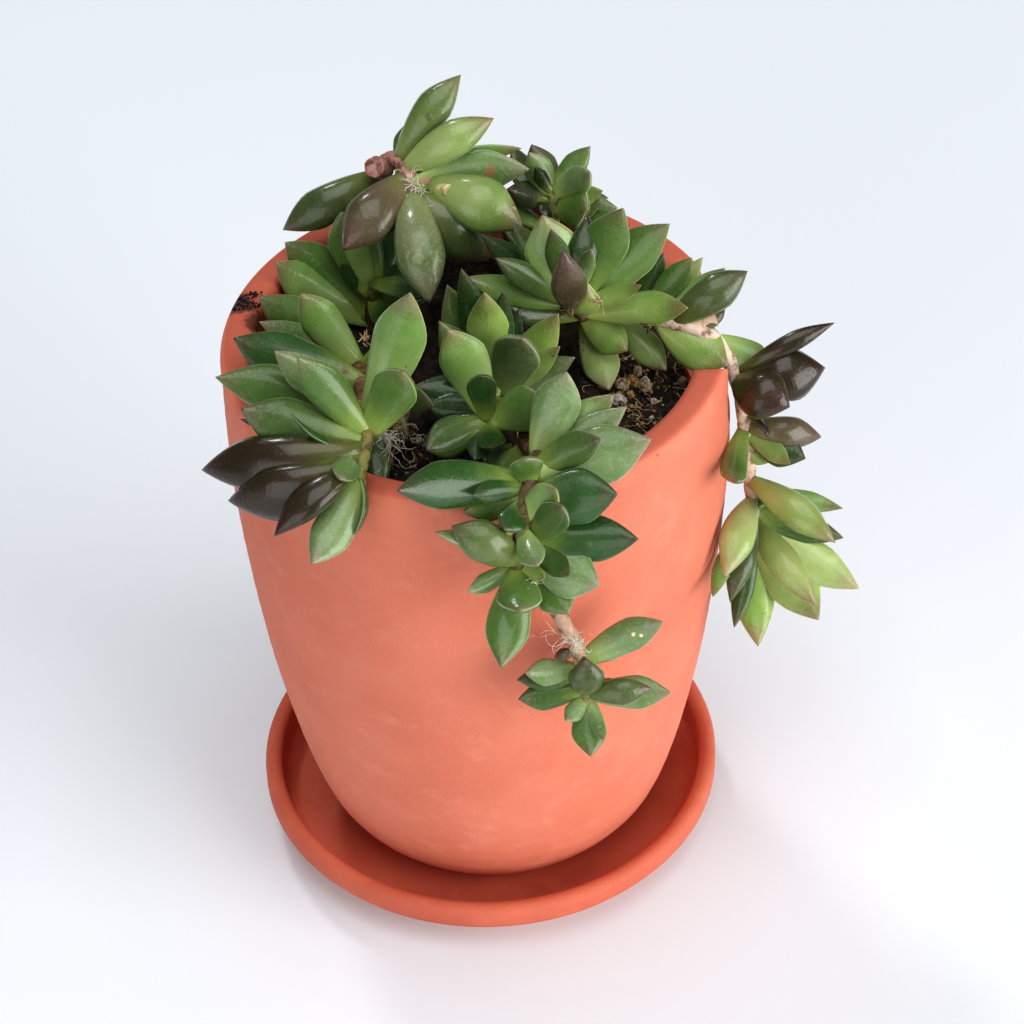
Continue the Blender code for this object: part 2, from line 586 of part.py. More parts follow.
def main():
    clear_scene()
    parts = new_collection("potted_sand_rose")
    cutters = new_collection("cutters")
    clay = plain_material("terracotta", (0.72, 0.27, 0.17), 0.85)
    earth = plain_material("earth", (0.035, 0.027, 0.022), 0.95)
    foliage = plain_material("foliage", (0.12, 0.2, 0.06), 0.4)
    make_saucer(parts).data.materials.append(clay)
    make_pot(parts, cutters).data.materials.append(clay)
    make_soil(parts, cutters).data.materials.append(earth)
    for name, sprig in SPRIGS.items():
        make_sprig(name, sprig, parts).data.materials.append(foliage)


main()
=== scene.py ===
from math import cos, exp, hypot, pi, radians, sin

import bmesh
import bpy
import numpy as np
from mathutils import Matrix, Vector, noise


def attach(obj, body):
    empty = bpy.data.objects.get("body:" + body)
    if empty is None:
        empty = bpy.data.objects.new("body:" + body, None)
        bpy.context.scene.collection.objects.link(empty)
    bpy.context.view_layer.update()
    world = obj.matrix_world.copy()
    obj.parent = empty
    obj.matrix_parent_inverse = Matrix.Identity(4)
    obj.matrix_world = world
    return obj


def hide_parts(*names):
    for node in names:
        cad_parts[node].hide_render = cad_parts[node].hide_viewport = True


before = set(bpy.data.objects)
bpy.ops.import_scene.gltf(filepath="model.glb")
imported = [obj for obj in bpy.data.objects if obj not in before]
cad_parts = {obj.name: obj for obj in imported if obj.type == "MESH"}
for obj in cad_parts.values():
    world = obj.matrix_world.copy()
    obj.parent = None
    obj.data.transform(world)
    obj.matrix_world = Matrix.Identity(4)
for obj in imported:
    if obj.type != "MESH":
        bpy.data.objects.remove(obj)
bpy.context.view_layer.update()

mm = 0.001


class Wire:
    # a node's output: Python's operators add Math nodes after it
    def __init__(self, graph, socket):
        self.graph = graph
        self.socket = socket

    def math(self, operation, *values):
        return self.graph.add("ShaderNodeMath", {"operation": operation}, dict(enumerate(values)))

    def __add__(self, other):
        return self.math("ADD", self, other)

    def __radd__(self, other):
        return self.math("ADD", other, self)

    def __sub__(self, other):
        return self.math("SUBTRACT", self, other)

    def __rsub__(self, other):
        return self.math("SUBTRACT", other, self)

    def __mul__(self, other):
        return self.math("MULTIPLY", self, other)

    def __rmul__(self, other):
        return self.math("MULTIPLY", other, self)

    def __truediv__(self, other):
        return self.math("DIVIDE", self, other)

    def __rtruediv__(self, other):
        return self.math("DIVIDE", other, self)

    def __pow__(self, other):
        return self.math("POWER", self, other)


class Graph:
    def __init__(self, tree):
        self.tree = tree

    def add(self, kind, settings=None, values=None, out=0):
        # a node of this type, its settings first, then its sockets' values or links
        node = self.tree.nodes.new(kind)
        for name, value in (settings or {}).items():
            setattr(node, name, value)
        for key, value in (values or {}).items():
            self.feed(self.find(node.inputs, key), value)
        return Wire(self, self.find(node.outputs, out)) if node.outputs else None

    def feed(self, socket, value):
        if isinstance(value, Wire):
            self.tree.links.new(value.socket, socket)
        else:
            socket.default_value = value

    def find(self, sockets, key):
        shown = [socket for socket in sockets if socket.enabled]
        if isinstance(key, int):
            return shown[key]
        return next(socket for socket in shown if key in (socket.name, socket.identifier))

    def split(self, vector):
        node = self.add("ShaderNodeSeparateXYZ", None, {0: vector}).socket.node
        return [Wire(self, socket) for socket in node.outputs]

    def join(self, x, y, z):
        return self.add("ShaderNodeCombineXYZ", None, {0: x, 1: y, 2: z})

    def vector(self, operation, *values):
        return self.add("ShaderNodeVectorMath", {"operation": operation}, dict(enumerate(values)))

    def stretched(self, vector, amount):
        return self.add("ShaderNodeVectorMath", {"operation": "SCALE"}, {"Vector": vector, "Scale": amount})

    def ease(self, value, low, high):
        # 0 at low, 1 at high, smooth between
        return self.add("ShaderNodeMapRange", {"interpolation_type": "SMOOTHSTEP"},
                        {"Value": value, "From Min": low, "From Max": high})

    def mix(self, first, second, amount, way="MIX"):
        return self.add("ShaderNodeMix", {"data_type": "RGBA", "blend_type": way},
                        {"Factor": amount, "A": first, "B": second}, "Result")

    def cloud(self, place, size, detail=3.0, rough=0.55):
        # noise whose lumps are about this size in metres
        return self.add("ShaderNodeTexNoise", None,
                        {"Vector": place, "Scale": 1 / size, "Detail": detail, "Roughness": rough})

    def spots(self, place, size):
        # distance to the nearest of scattered points, which are about this many metres apart
        return self.add("ShaderNodeTexVoronoi", {"feature": "F1"}, {"Vector": place, "Scale": 1 / size})


def rgb(red, green, blue):
    # a screen colour from 0 to 255 as a shader colour
    parts = [part / 255 for part in (red, green, blue)]
    return (*[part / 12.92 if part <= 0.04045 else ((part + 0.055) / 1.055) ** 2.4 for part in parts], 1)


def newFinish(name, **fixed):
    # a material, its node graph and its shader; what is the same all over is set on the shader itself
    finish = bpy.data.materials.new(name)
    finish.use_nodes = True
    shader = finish.node_tree.nodes["Principled BSDF"]
    for socket, value in fixed.items():
        shader.inputs[socket.replace("_", " ")].default_value = value
    return finish, Graph(finish.node_tree), shader


def readName(graph, name, part):
    # colour or factor of a mesh attribute
    settings = {"attribute_name": name, "attribute_type": "GEOMETRY"}
    return graph.add("ShaderNodeAttribute", settings, None, part)


def objectPlace(graph):
    return graph.add("ShaderNodeTexCoord", None, None, "Object")


def painted(graph, shader, colour, height, depth, roughness=None):
    # joins a colour, a fine relief of this depth in metres and a roughness to the shader
    graph.feed(shader.inputs["Base Color"], colour)
    if roughness is not None:
        graph.feed(shader.inputs["Roughness"], roughness)
    bump = graph.add("ShaderNodeBump", None, {"Height": height, "Distance": depth, "Strength": 1.0})
    graph.feed(shader.inputs["Normal"], bump)


def newTree(name, inputs):
    # a Geometry Nodes tree with these named inputs and their first values; None stands for a material
    tree = bpy.data.node_groups.new(name, "GeometryNodeTree")
    tree.is_modifier = True
    tree.interface.new_socket("Geometry", in_out="INPUT", socket_type="NodeSocketGeometry")
    for label, value in inputs.items():
        kind = {int: "NodeSocketInt", float: "NodeSocketFloat"}.get(type(value), "NodeSocketMaterial")
        socket = tree.interface.new_socket(label, in_out="INPUT", socket_type=kind)
        if value is not None:
            socket.default_value = value
    tree.interface.new_socket("Geometry", in_out="OUTPUT", socket_type="NodeSocketGeometry")
    graph = Graph(tree)
    entry = tree.nodes.new("NodeGroupInput")
    return graph, {label: Wire(graph, entry.outputs[label]) for label in ("Geometry", *inputs)}


def endTree(graph, shape, finish):
    # one smooth mesh with this finish is what the tree gives
    shape = graph.add("GeometryNodeRealizeInstances", None, {"Geometry": shape})
    shape = graph.add("GeometryNodeSetShadeSmooth", None, {"Geometry": shape, "Shade Smooth": True})
    shape = graph.add("GeometryNodeSetMaterial", None, {"Geometry": shape, "Material": finish})
    graph.add("NodeGroupOutput", None, {"Geometry": shape})
    return graph.tree


def keep(graph, shape, name, value):
    # stores a number on the points under a name that later nodes and the material read
    return graph.add("GeometryNodeStoreNamedAttribute", {"data_type": "FLOAT"},
                     {"Geometry": shape, "Name": name, "Value": value})


def read(graph, name, kind="FLOAT"):
    return graph.add("GeometryNodeInputNamedAttribute", {"data_type": kind}, {"Name": name})


def readVector(graph, name):
    return read(graph, name, "FLOAT_VECTOR")


def scattered(graph, points, thing, **more):
    # a copy of a shape on every point, as real geometry
    shape = graph.add("GeometryNodeInstanceOnPoints", None, {"Points": points, "Instance": thing, **more})
    return graph.add("GeometryNodeRealizeInstances", None, {"Geometry": shape})


def moved(graph, shape, place=None, offset=None):
    values = {"Geometry": shape}
    if place is not None:
        values["Position"] = place
    if offset is not None:
        values["Offset"] = offset
    return graph.add("GeometryNodeSetPosition", None, values)


# attribute type and value field for one, three or four numbers
attributeKinds = {1: ("FLOAT", "value"), 3: ("FLOAT_VECTOR", "vector"), 4: ("FLOAT_COLOR", "color")}


def startMesh(name, points, edges=(), faces=(), **facts):
    # a mesh of points, edges or faces; facts are attributes with one value for each point
    mesh = bpy.data.meshes.new(name)
    mesh.from_pydata([tuple(point) for point in points], list(edges), list(faces))
    for fact, values in facts.items():
        values = np.array(values, float)
        width = 1 if values.ndim == 1 else values.shape[1]
        kind, field = attributeKinds[width]
        mesh.attributes.new(fact, kind, "POINT").data.foreach_set(field, values.ravel())
    return mesh


def linked(name, data):
    # a new object in the scene
    thing = bpy.data.objects.new(name, data)
    bpy.context.scene.collection.objects.link(thing)
    return thing


def shapedMesh(thing):
    # the mesh that an object's modifiers make; the modifiers are then taken off
    bpy.context.view_layer.update()
    mesh = bpy.data.meshes.new_from_object(thing.evaluated_get(bpy.context.evaluated_depsgraph_get()))
    thing.modifiers.clear()
    return mesh


def grown(name, mesh, tree, **values):
    # the plain mesh object that a tree makes from a starting mesh
    start = linked(name + "Start", mesh)
    modifier = start.modifiers.new(name, "NODES")
    modifier.node_group = tree
    for item in tree.interface.items_tree:
        if item.in_out == "INPUT" and item.name in values:
            modifier[item.identifier] = values[item.name]
    made = shapedMesh(start)
    bpy.data.objects.remove(start, do_unlink=True)
    made.name = name
    return linked(name, made)


def placed(piece, slot, *nodes):
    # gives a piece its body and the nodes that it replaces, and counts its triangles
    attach(piece, "root")
    if nodes:
        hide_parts(*nodes)
    count = sum(len(face.vertices) - 2 for face in piece.data.polygons)
    print(f"{piece.name}: {count} triangles")
    return count


claySettings = {
    "potLight": rgb(220, 128, 102), "potDark": rgb(213, 119, 92), "potBloom": rgb(230, 148, 126),
    # the colour of the painted shade on the pot's rim
    "rim": rgb(196, 98, 76),
    "saucerLight": rgb(210, 110, 84), "saucerDark": rgb(199, 99, 74), "saucerBloom": rgb(218, 132, 106),
    "earthStain": rgb(62, 36, 30), "roughness": 0.72, "mottleSize": 22, "dustSize": 7, "speckSize": 2.6,
    # where the painted rim shade lies: inside this radius in millimetres, fading over this width, above these
    # heights, and how strong it is
    "rimShadeRadius": 52.0, "rimShadeFade": 0.9, "rimShadeHeights": (104, 110), "rimShadeStrength": 0.8,
    # smears of earth: centre in metres, size in millimetres and strength
    "potStains": (((-0.0478, 0.0130, 0.1335), 4.2, 0.95), ((-0.0450, 0.0070, 0.1330), 3.6, 0.8),
                  ((-0.0522, -0.0072, 0.1337), 1.2, 0.8), ((0.0364, -0.0396, 0.1330), 0.8, 0.6)),
    "saucerStains": (((0.0122, -0.0513, 0.0125), 1.3, 0.8),),
}


def clayFinish(name, piece, rimShadeCentre=None):
    # mottled clay with a dusty bloom, dark specks and smears of earth, and on the pot painted shade over the
    # rim
    settings = claySettings
    light, dark, bloom = (settings[piece + part] for part in ("Light", "Dark", "Bloom"))
    finish, graph, shader = newFinish(name, Metallic=0.0, Specular_IOR_Level=0.5)
    place = objectPlace(graph)
    mottle = graph.ease(graph.cloud(place, settings["mottleSize"] * mm, 4.0), 0.35, 0.68)
    colour = graph.mix(dark, light, mottle)
    dusty = graph.ease(graph.cloud(place, settings["dustSize"] * mm, 5.0, 0.65), 0.52, 0.72) * 0.35
    colour = graph.mix(colour, bloom, dusty)
    speck = graph.ease(graph.spots(place, settings["speckSize"] * mm), 0.16, 0.06)
    speck = speck * graph.ease(graph.cloud(place, 9 * mm), 0.5, 0.62)
    colour = graph.mix(colour, dark, speck * 0.5)
    if rimShadeCentre:
        # painted shade: the rim's top, the wall inside it and the notch's cut faces are painted darker, as
        # they lie in shade
        x, y, z = graph.split(place)
        x, y = x - rimShadeCentre[0] * mm, y - rimShadeCentre[1] * mm
        radius, (low, high) = settings["rimShadeRadius"], settings["rimShadeHeights"]
        inward = graph.ease((x * x + y * y) ** 0.5, radius * mm, (radius - settings["rimShadeFade"]) * mm)
        cut = inward * graph.ease(z, low * mm, high * mm)
        colour = graph.mix(colour, settings["rim"], cut * settings["rimShadeStrength"])
    for centre, size, strength in settings[piece + "Stains"]:
        size = size * mm
        away = graph.add("ShaderNodeVectorMath", {"operation": "DISTANCE"}, {0: place, 1: centre}, "Value")
        ragged = away + (graph.cloud(place, 3 * mm, 4.0) - 0.5) * (size * 1.6)
        stained = graph.ease(ragged, size, size * 0.4) * strength
        colour = graph.mix(colour, settings["earthStain"], stained)
    grain = graph.cloud(place, 0.7 * mm) * 0.5 + graph.cloud(place, 4 * mm) * 0.5
    painted(graph, shader, colour, grain, 0.25 * mm, settings["roughness"] + mottle * 0.08)
    return finish


def latheTree():
    # turns the starting points, a profile of radius and height, about Z
    graph, given = newTree("lathe", {"Steps": 160, "Ring Depth": 0.0, "Ring Pitch": 4.3, "Finish": None})
    rows = graph.add("GeometryNodeAttributeDomainSize", {"component": "MESH"},
                     {"Geometry": given["Geometry"]})
    sheet = graph.add("GeometryNodeMeshGrid", None, {"Size X": 1.0, "Size Y": 1.0,
                                                     "Vertices X": given["Steps"] + 1, "Vertices Y": rows})
    spot = graph.add("GeometryNodeInputPosition")
    across, up, _ = graph.split(spot)
    turn = (across + 0.5) * (2 * pi)
    row = (up + 0.5) * (rows - 1) + 0.01
    point = graph.add("GeometryNodeSampleIndex", {"data_type": "FLOAT_VECTOR", "domain": "POINT"},
                      {"Geometry": given["Geometry"], "Value": spot, "Index": row.math("FLOOR", row)})
    radius, _, height = graph.split(point)
    phase = height * (2 * pi / mm) / given["Ring Pitch"] + turn
    patchy = graph.cloud(graph.join(0.0, 0.0, height), 9 * mm)
    rings = (phase.math("SINE", phase) - 1) * patchy * given["Ring Depth"]
    radius = radius + rings * graph.ease(radius, 20 * mm, 30 * mm)
    shape = moved(graph, sheet, graph.join(radius * turn.math("COSINE", turn),
                                           radius * turn.math("SINE", turn), height))
    shape = graph.add("GeometryNodeMergeByDistance", None, {"Geometry": shape, "Distance": 0.01 * mm})
    return endTree(graph, shape, given["Finish"])


def arc(centre, radius, start, end, steps):
    turns = [radians(start + (end - start) * step / steps) for step in range(steps + 1)]
    return [(centre[0] + radius * cos(turn), centre[1] + radius * sin(turn)) for turn in turns]


def eased(points, steps):
    # a smooth curve through points, which may have two or three numbers each
    knots = [np.array(point, float) for point in points]
    knots = [2 * knots[0] - knots[1], *knots, 2 * knots[-1] - knots[-2]]
    path = []
    for before, start, end, after in zip(knots, knots[1:], knots[2:], knots[3:]):
        for step in range(steps):
            t = step / steps
            second, third = 2 * before - 5 * start + 4 * end - after, 3 * start - before - 3 * end + after
            path.append(0.5 * (2 * start + (end - before) * t + second * t ** 2 + third * t ** 3))
    return [*path, knots[-2]]


def outwardFaces(mesh):
    # turns a closed mesh's faces outward
    shape = bmesh.new()
    shape.from_mesh(mesh)
    bmesh.ops.recalc_face_normals(shape, faces=shape.faces)
    shape.to_mesh(mesh)
    shape.free()


def turned(name, profile, tree, centre=(0, 0, 0), **values):
    # a piece turned from a profile of radius and height, in millimetres
    points = [(radius * mm, 0, height * mm) for radius, height in profile]
    piece = grown(name, startMesh(name + "Profile", points), tree, **values)
    piece.data.transform(Matrix.Translation(Vector(centre) * mm))
    outwardFaces(piece.data)
    return piece


# saucer, in millimetres
saucerSize = {"height": 14, "lipRadius": 51.5, "lipThickness": 3.8, "band": 3.2, "foot": 38, "floor": 4,
              "cove": 3, "undercut": 1.8, "steps": 160}


def makeSaucer(tree, finish):
    size = saucerSize
    lip = size["lipThickness"] / 2
    bandBottom = size["height"] - lip - size["band"]
    inside = size["lipRadius"] - size["lipThickness"]
    radius, undercut, cove = size["lipRadius"], size["undercut"], size["cove"]
    profile = [
        (0, size["floor"]), (20, size["floor"]), (inside - cove - 1, size["floor"]),
        *eased([(inside - cove, size["floor"]), (inside - cove / 4, size["floor"] + cove * 0.7),
                (inside, size["floor"] + cove * 1.9)], 5),
        *arc((radius - lip, size["height"] - lip), lip, 180, 0, 14),
        (radius, bandBottom + 0.5), (radius - 0.15, bandBottom + 0.15), (radius - 0.5, bandBottom),
        *eased([(radius - undercut + 0.2, bandBottom - undercut + 0.3),
                (radius - undercut - 0.5, bandBottom - undercut - 0.6),
                (size["foot"] + cove, cove * 0.7), (size["foot"] + 1, 0.35)], 6),
        (size["foot"] + 0.4, 0.08), (size["foot"], 0), (20, 0), (0, 0),
    ]
    return turned("saucerClay", profile, tree, Steps=size["steps"], Finish=finish)


# pot, in millimetres
potSize = {
    "centre": (0.77, -0.93, 4.3), "height": 129.4, "rim": 52.5, "wall": 6.7, "floor": 8, "drain": 5,
    "rounding": 2,
    "outside": ((52.6, 101.4), (51, 77.3), (48.3, 53.1), (45, 33.8), (41.7, 19.3), (38.5, 9.7), (34.5, 3.9),
                (31.4, 0)),
    "ringDepth": 0.1, "ringPitch": 4.3, "steps": 160,
    "notchFront": -12, "notchBack": 20, "notchDepth": 20, "notchCorner": 7, "notchFlare": 4,
    "notchReach": (30, 70), "sharpAngle": 50,
}


def potInside(clearance):
    # the pot's inner wall from the rim down, this much inside it
    wall = [(radius - potSize["wall"] - clearance, height) for radius, height in potSize["outside"][::2]]
    return [*wall[:-1], (wall[-1][0] + 3, potSize["floor"] + min(clearance, 0.3))]


def makePot(tree, finish):
    size = potSize
    rim, inner, top = size["rim"], size["rim"] - size["wall"], size["height"] - size["rounding"]
    profile = [
        *arc((inner + size["rounding"], top), size["rounding"], 180, 90, 7),
        *arc((rim - size["rounding"], top), size["rounding"], 90, 0, 7),
        *[(min(radius, size["outside"][0][0]), height)
          for radius, height in eased([(rim, top - 6), *size["outside"]], 10)],
        (31, -0.0), (20, 0), (size["drain"], 0), (size["drain"], size["floor"]),
        *reversed(eased(potInside(0), 8)),
    ]
    profile.append(profile[0])
    pot = turned("potClay", profile, tree, size["centre"], Steps=size["steps"], Finish=finish,
                 **{"Ring Depth": size["ringDepth"] * mm, "Ring Pitch": size["ringPitch"]})
    cutNotch(pot)
    return pot


def cutNotch(pot):
    # a U with flared tops, drawn in the YZ plane and pushed out along X
    size = potSize
    top = size["centre"][2] + size["height"]
    low, over = top - size["notchDepth"], top + size["notchFlare"]
    flare, corner, front, back = (size["notch" + part] for part in ("Flare", "Corner", "Front", "Back"))
    outline = [
        (front - 2 * flare, over), *arc((front - flare, top - flare), flare, 90, 0, 10),
        *arc((front + corner, low + corner), corner, 180, 270, 12),
        *arc((back - corner, low + corner), corner, 270, 360, 12),
        *arc((back + flare, top - flare), flare, 180, 90, 10), (back + 2 * flare, over),
    ]
    count = len(outline)
    points = [(x * mm, y * mm, z * mm) for x in size["notchReach"] for y, z in outline]
    faces = [tuple(range(count)), tuple(reversed(range(count, 2 * count)))]
    faces += [(i, i + count, (i + 1) % count + count, (i + 1) % count) for i in range(count)]
    mesh = startMesh("notchCutter", points, faces=faces)
    outwardFaces(mesh)
    cutter = linked("notchCutter", mesh)
    cut = pot.modifiers.new("notch", "BOOLEAN")
    cut.operation, cut.object, cut.solver = "DIFFERENCE", cutter, "EXACT"
    mesh = shapedMesh(pot)
    clay = next(finish for finish in mesh.materials if finish)
    mesh.materials.clear()
    mesh.materials.append(clay)
    mesh.polygons.foreach_set("material_index", [0] * len(mesh.polygons))
    pot.data = mesh
    bpy.data.objects.remove(cutter, do_unlink=True)
    mesh.set_sharp_from_angle(angle=radians(size["sharpAngle"]))


# soil, in millimetres
soilSize = {"top": 120, "bump": 0.7, "dip": 7.5, "slopeStart": 22, "slopeEnd": 40, "rings": 60, "steps": 170,
            "clearance": 0.6, "lumps": 0.9, "lumpSize": 4.5, "grain": 0.5, "grainSize": 1.3}


def soilHeight(x, y):
    # gentle bumps, and a slope down to the notch
    size = soilSize
    front, back = potSize["notchFront"], potSize["notchBack"]
    aside = (y - (front + back) / 2) / (back - front)
    outward = min(max((x - size["slopeStart"]) / (size["slopeEnd"] - size["slopeStart"]), 0), 1)
    bumps = sin(x / 3.1) * sin(y / 2.7 + 1) + 0.6 * sin((x + 2 * y) / 5.3)
    return size["top"] + size["bump"] * bumps - size["dip"] * outward * exp(-2 * aside * aside)


def soilFinish():
    finish, graph, shader = newFinish("darkEarth", Metallic=0.0, Roughness=0.95, Specular_IOR_Level=0.3)
    place = objectPlace(graph)
    tone = graph.ease(graph.cloud(place, 2.2 * mm, 5.0, 0.7), 0.38, 0.68)
    colour = graph.mix(rgb(26, 23, 20), rgb(70, 60, 52), tone)
    brown = graph.ease(graph.cloud(place, 6 * mm, 3.0), 0.55, 0.7) * 0.6
    colour = graph.mix(colour, rgb(84, 60, 44), brown)
    pale = graph.ease(graph.spots(place, 1.1 * mm), 0.16, 0.05)
    pale = pale * graph.ease(graph.cloud(place, 5 * mm), 0.55, 0.68)
    colour = graph.mix(colour, rgb(150, 140, 126), pale * 0.6)
    painted(graph, shader, colour, graph.cloud(place, 0.9 * mm, 5.0, 0.7), 0.5 * mm)
    return finish


def makeSoil(finish):
    # rough ground on a plug that fills the pot
    size = soilSize
    centre = Vector(potSize["centre"])
    side = potInside(size["clearance"])
    edge = side[0][0]
    rings = [edge * (number / size["rings"]) ** 0.9 for number in range(1, size["rings"] + 1)]
    points = [Vector((centre.x, centre.y, 0))]
    levels = [*[(radius, None) for radius in rings], *side, (side[-1][0] / 2, side[-1][1])]
    for radius, level in levels:
        for step in range(size["steps"]):
            turn = 2 * pi * step / size["steps"]
            points.append(Vector((centre.x + radius * cos(turn), centre.y + radius * sin(turn),
                                  0 if level is None else level + centre.z)))
    points.append(Vector((centre.x, centre.y, side[-1][1] + centre.z)))
    topCount = 1 + size["rings"] * size["steps"]
    for point in points[:topCount]:
        lumps = noise.fractal(point / size["lumpSize"], 1, 2.1, 3) * size["lumps"]
        grain = noise.fractal(point / size["grainSize"], 1, 2.1, 2) * size["grain"]
        point.z = soilHeight(point.x, point.y) + (lumps + grain)
    steps, last = size["steps"], len(points) - 1
    faces = [(0, 1 + i, 1 + (i + 1) % steps) for i in range(steps)]
    for level in range(len(levels) - 1):
        a, b = 1 + level * steps, 1 + (level + 1) * steps
        faces += [(a + i, b + i, b + (i + 1) % steps, a + (i + 1) % steps) for i in range(steps)]
    a = 1 + (len(levels) - 1) * steps
    faces += [(a + i, last, a + (i + 1) % steps) for i in range(steps)]
    mesh = startMesh("soilGround", [point * mm for point in points], faces=faces)
    outwardFaces(mesh)
    mesh.polygons.foreach_set("use_smooth", [True] * len(mesh.polygons))
    mesh.materials.append(finish)
    return linked("soilGround", mesh)


# stones on the ground: place in millimetres, sizes along, across and up, and colour
stoneTints = {"pumice": rgb(216, 202, 168), "white": rgb(240, 234, 222), "grey": rgb(160, 150, 134),
              "brown": rgb(124, 92, 62), "earth": rgb(46, 36, 30), "gold": rgb(206, 170, 112)}
groundStones = (
    ((31.0, 2.3), (2.1, 1.6, 1.3), "pumice"), ((33.4, 4.2), (1.7, 1.4, 1.2), "gold"),
    ((35.9, 3.7), (1.9, 1.5, 1.2), "pumice"), ((36.2, 5.8), (1.2, 1.0, 0.8), "white"),
    ((43.9, 7.5), (1.5, 1.2, 1.0), "grey"), ((36.5, -8.4), (0.9, 0.7, 0.6), "white"),
    ((37.8, -0.7), (1.0, 0.8, 0.7), "white"), ((29.9, -3.8), (2.0, 1.7, 1.4), "white"),
    ((32.6, 0.2), (1.3, 1.1, 0.9), "gold"), ((34.5, 7.2), (1.5, 1.2, 1.0), "pumice"),
    ((38.5, 6.8), (1.1, 0.9, 0.7), "brown"), ((30.2, -0.9), (1.0, 0.8, 0.7), "gold"),
)
# loose grit: numbers and sizes, and the fields it falls in, each from left to right and front to back
gritSettings = {"count": 460, "small": 0.18, "large": 0.6,
                "tints": ("earth", "earth", "brown", "gold", "pumice"),
                "places": ((26, 46, -18, 13), (-18, -6, -28, -17)),
                "rimPlaces": ((-51.5, -43.2, 10.5, 16.5), (-52.4, -50.2, -8.5, -6.5)), "rimCount": 150,
                "rimTop": 133.6, "rimRadii": (46.5, 51.4)}
fibreSettings = {"count": 90, "length": 9.0, "shortest": 0.3, "radius": 0.07, "sides": 5, "steps": 12,
                 "bend": 0.5, "lift": 0.5}


def stoneTree():
    # a knobbly stone at each starting point, with its own sizes, turn and tint
    graph, given = newTree("stone", {"Detail": 2, "Knobs": 0.5, "Finish": None})
    ball = graph.add("GeometryNodeMeshIcoSphere", None, {"Radius": 1.0, "Subdivisions": given["Detail"]})
    shape = scattered(graph, given["Geometry"], ball, Rotation=readVector(graph, "turn"),
                      Scale=readVector(graph, "sizes"))
    sizes = graph.vector("LENGTH", readVector(graph, "sizes"))
    spot = graph.stretched(graph.add("GeometryNodeInputPosition"), 2.4 / sizes)
    lumps = graph.add("ShaderNodeTexNoise", None, {"Vector": spot, "Scale": 1.0, "Detail": 3.0})
    push = graph.stretched(graph.add("GeometryNodeInputNormal"), (lumps - 0.6) * sizes * given["Knobs"])
    return endTree(graph, moved(graph, shape, offset=push), given["Finish"])


def stoneFinish():
    finish, graph, shader = newFinish("grit", Metallic=0.0, Roughness=0.85, Specular_IOR_Level=0.3)
    place = objectPlace(graph)
    tint = readName(graph, "tint", "Color")
    worn = graph.ease(graph.cloud(place, 0.6 * mm, 4.0, 0.7), 0.35, 0.6)
    colour = graph.mix(graph.mix(tint, rgb(132, 112, 88), 1.0, "MULTIPLY"), tint, worn)
    painted(graph, shader, colour, graph.cloud(place, 0.35 * mm, 4.0, 0.7), 0.25 * mm)
    return finish


def makeStones(name, stones, tree, finish, detail):
    # stones are (place, sizes, tint)
    rng = np.random.default_rng(11)
    mesh = startMesh(name + "Places", [Vector(place) * mm for place, _, _ in stones],
                     sizes=[tuple(Vector(sizes) * mm) for _, sizes, _ in stones],
                     turn=rng.uniform(0, 2 * pi, (len(stones), 3)),
                     tint=[stoneTints[tint] for *_, tint in stones])
    return grown(name, mesh, tree, Finish=finish, Detail=detail)


def groundGrit():
    # loose grit on the ground that shows between the sprigs, and crumbs of earth on the rim
    rng = np.random.default_rng(3)
    size = gritSettings
    grit = []
    for count, places in ((size["count"], size["places"]), (size["rimCount"], size["rimPlaces"])):
        for _ in range(count):
            left, right, front, back = places[int(rng.random() > 0.8)]
            x, y = rng.uniform(left, right), rng.uniform(front, back)
            across = rng.uniform(size["small"], size["large"])
            onRim = places is size["rimPlaces"]
            away = hypot(x - potSize["centre"][0], y - potSize["centre"][1])
            if onRim and not size["rimRadii"][0] < away < size["rimRadii"][1]:
                continue
            z = size["rimTop"] if onRim else soilHeight(x, y) + 0.2
            tint = "earth" if onRim else size["tints"][rng.integers(len(size["tints"]))]
            grit.append(((x, y, z), (across, across * 0.8, across * (0.5 if onRim else 0.7)), tint))
    return grit


def groundFibres():
    # rootlets and husks that lie on the ground
    rng = np.random.default_rng(5)
    size = fibreSettings
    lines = []
    for _ in range(size["count"]):
        left, right, front, back = gritSettings["places"][int(rng.random() > 0.75)]
        x, y, turn = rng.uniform(left, right), rng.uniform(front, back), rng.uniform(0, 2 * pi)
        stride = size["length"] * rng.uniform(size["shortest"], 1) / size["steps"]
        line = []
        for step in range(size["steps"] + 1):
            z = soilHeight(x, y) + size["lift"] * rng.uniform(0.4, 1)
            line.append((Vector((x, y, z)), size["radius"]))
            turn += rng.normal(0, size["bend"])
            x, y = x + stride * cos(turn), y + stride * sin(turn)
        tint = stoneTints[("gold", "brown", "pumice")[rng.integers(3)]]
        lines.append(((tint, tint), line))
    return lines


# inputs of the leaf's tree, and numbers fixed inside it; lengths are parts of the leaf's length or width
leafShape = {"Sides": 12, "Rings": 17, "Neck": 0.36, "Broadest": 0.62, "Bow": 0.12, "Thickness": 0.38,
             "Groove": -0.22, "Point": 1.55, "Reach": 0.99}
leafForm = {"ringsToTip": 1.25, "tipBluntness": 8, "faceHeight": 0.3, "keelDepth": 0.8, "keelRoundness": 0.8,
            "wave": 0.03, "sway": 0.1}
viewPitch = radians(42)
viewRight = Vector((1, 0, 0))
viewUp = Vector((0, sin(viewPitch), cos(viewPitch)))
viewOut = Vector((0, -cos(viewPitch), sin(viewPitch)))
goldenAngle = radians(137.5)
whorlSwing = 0.12
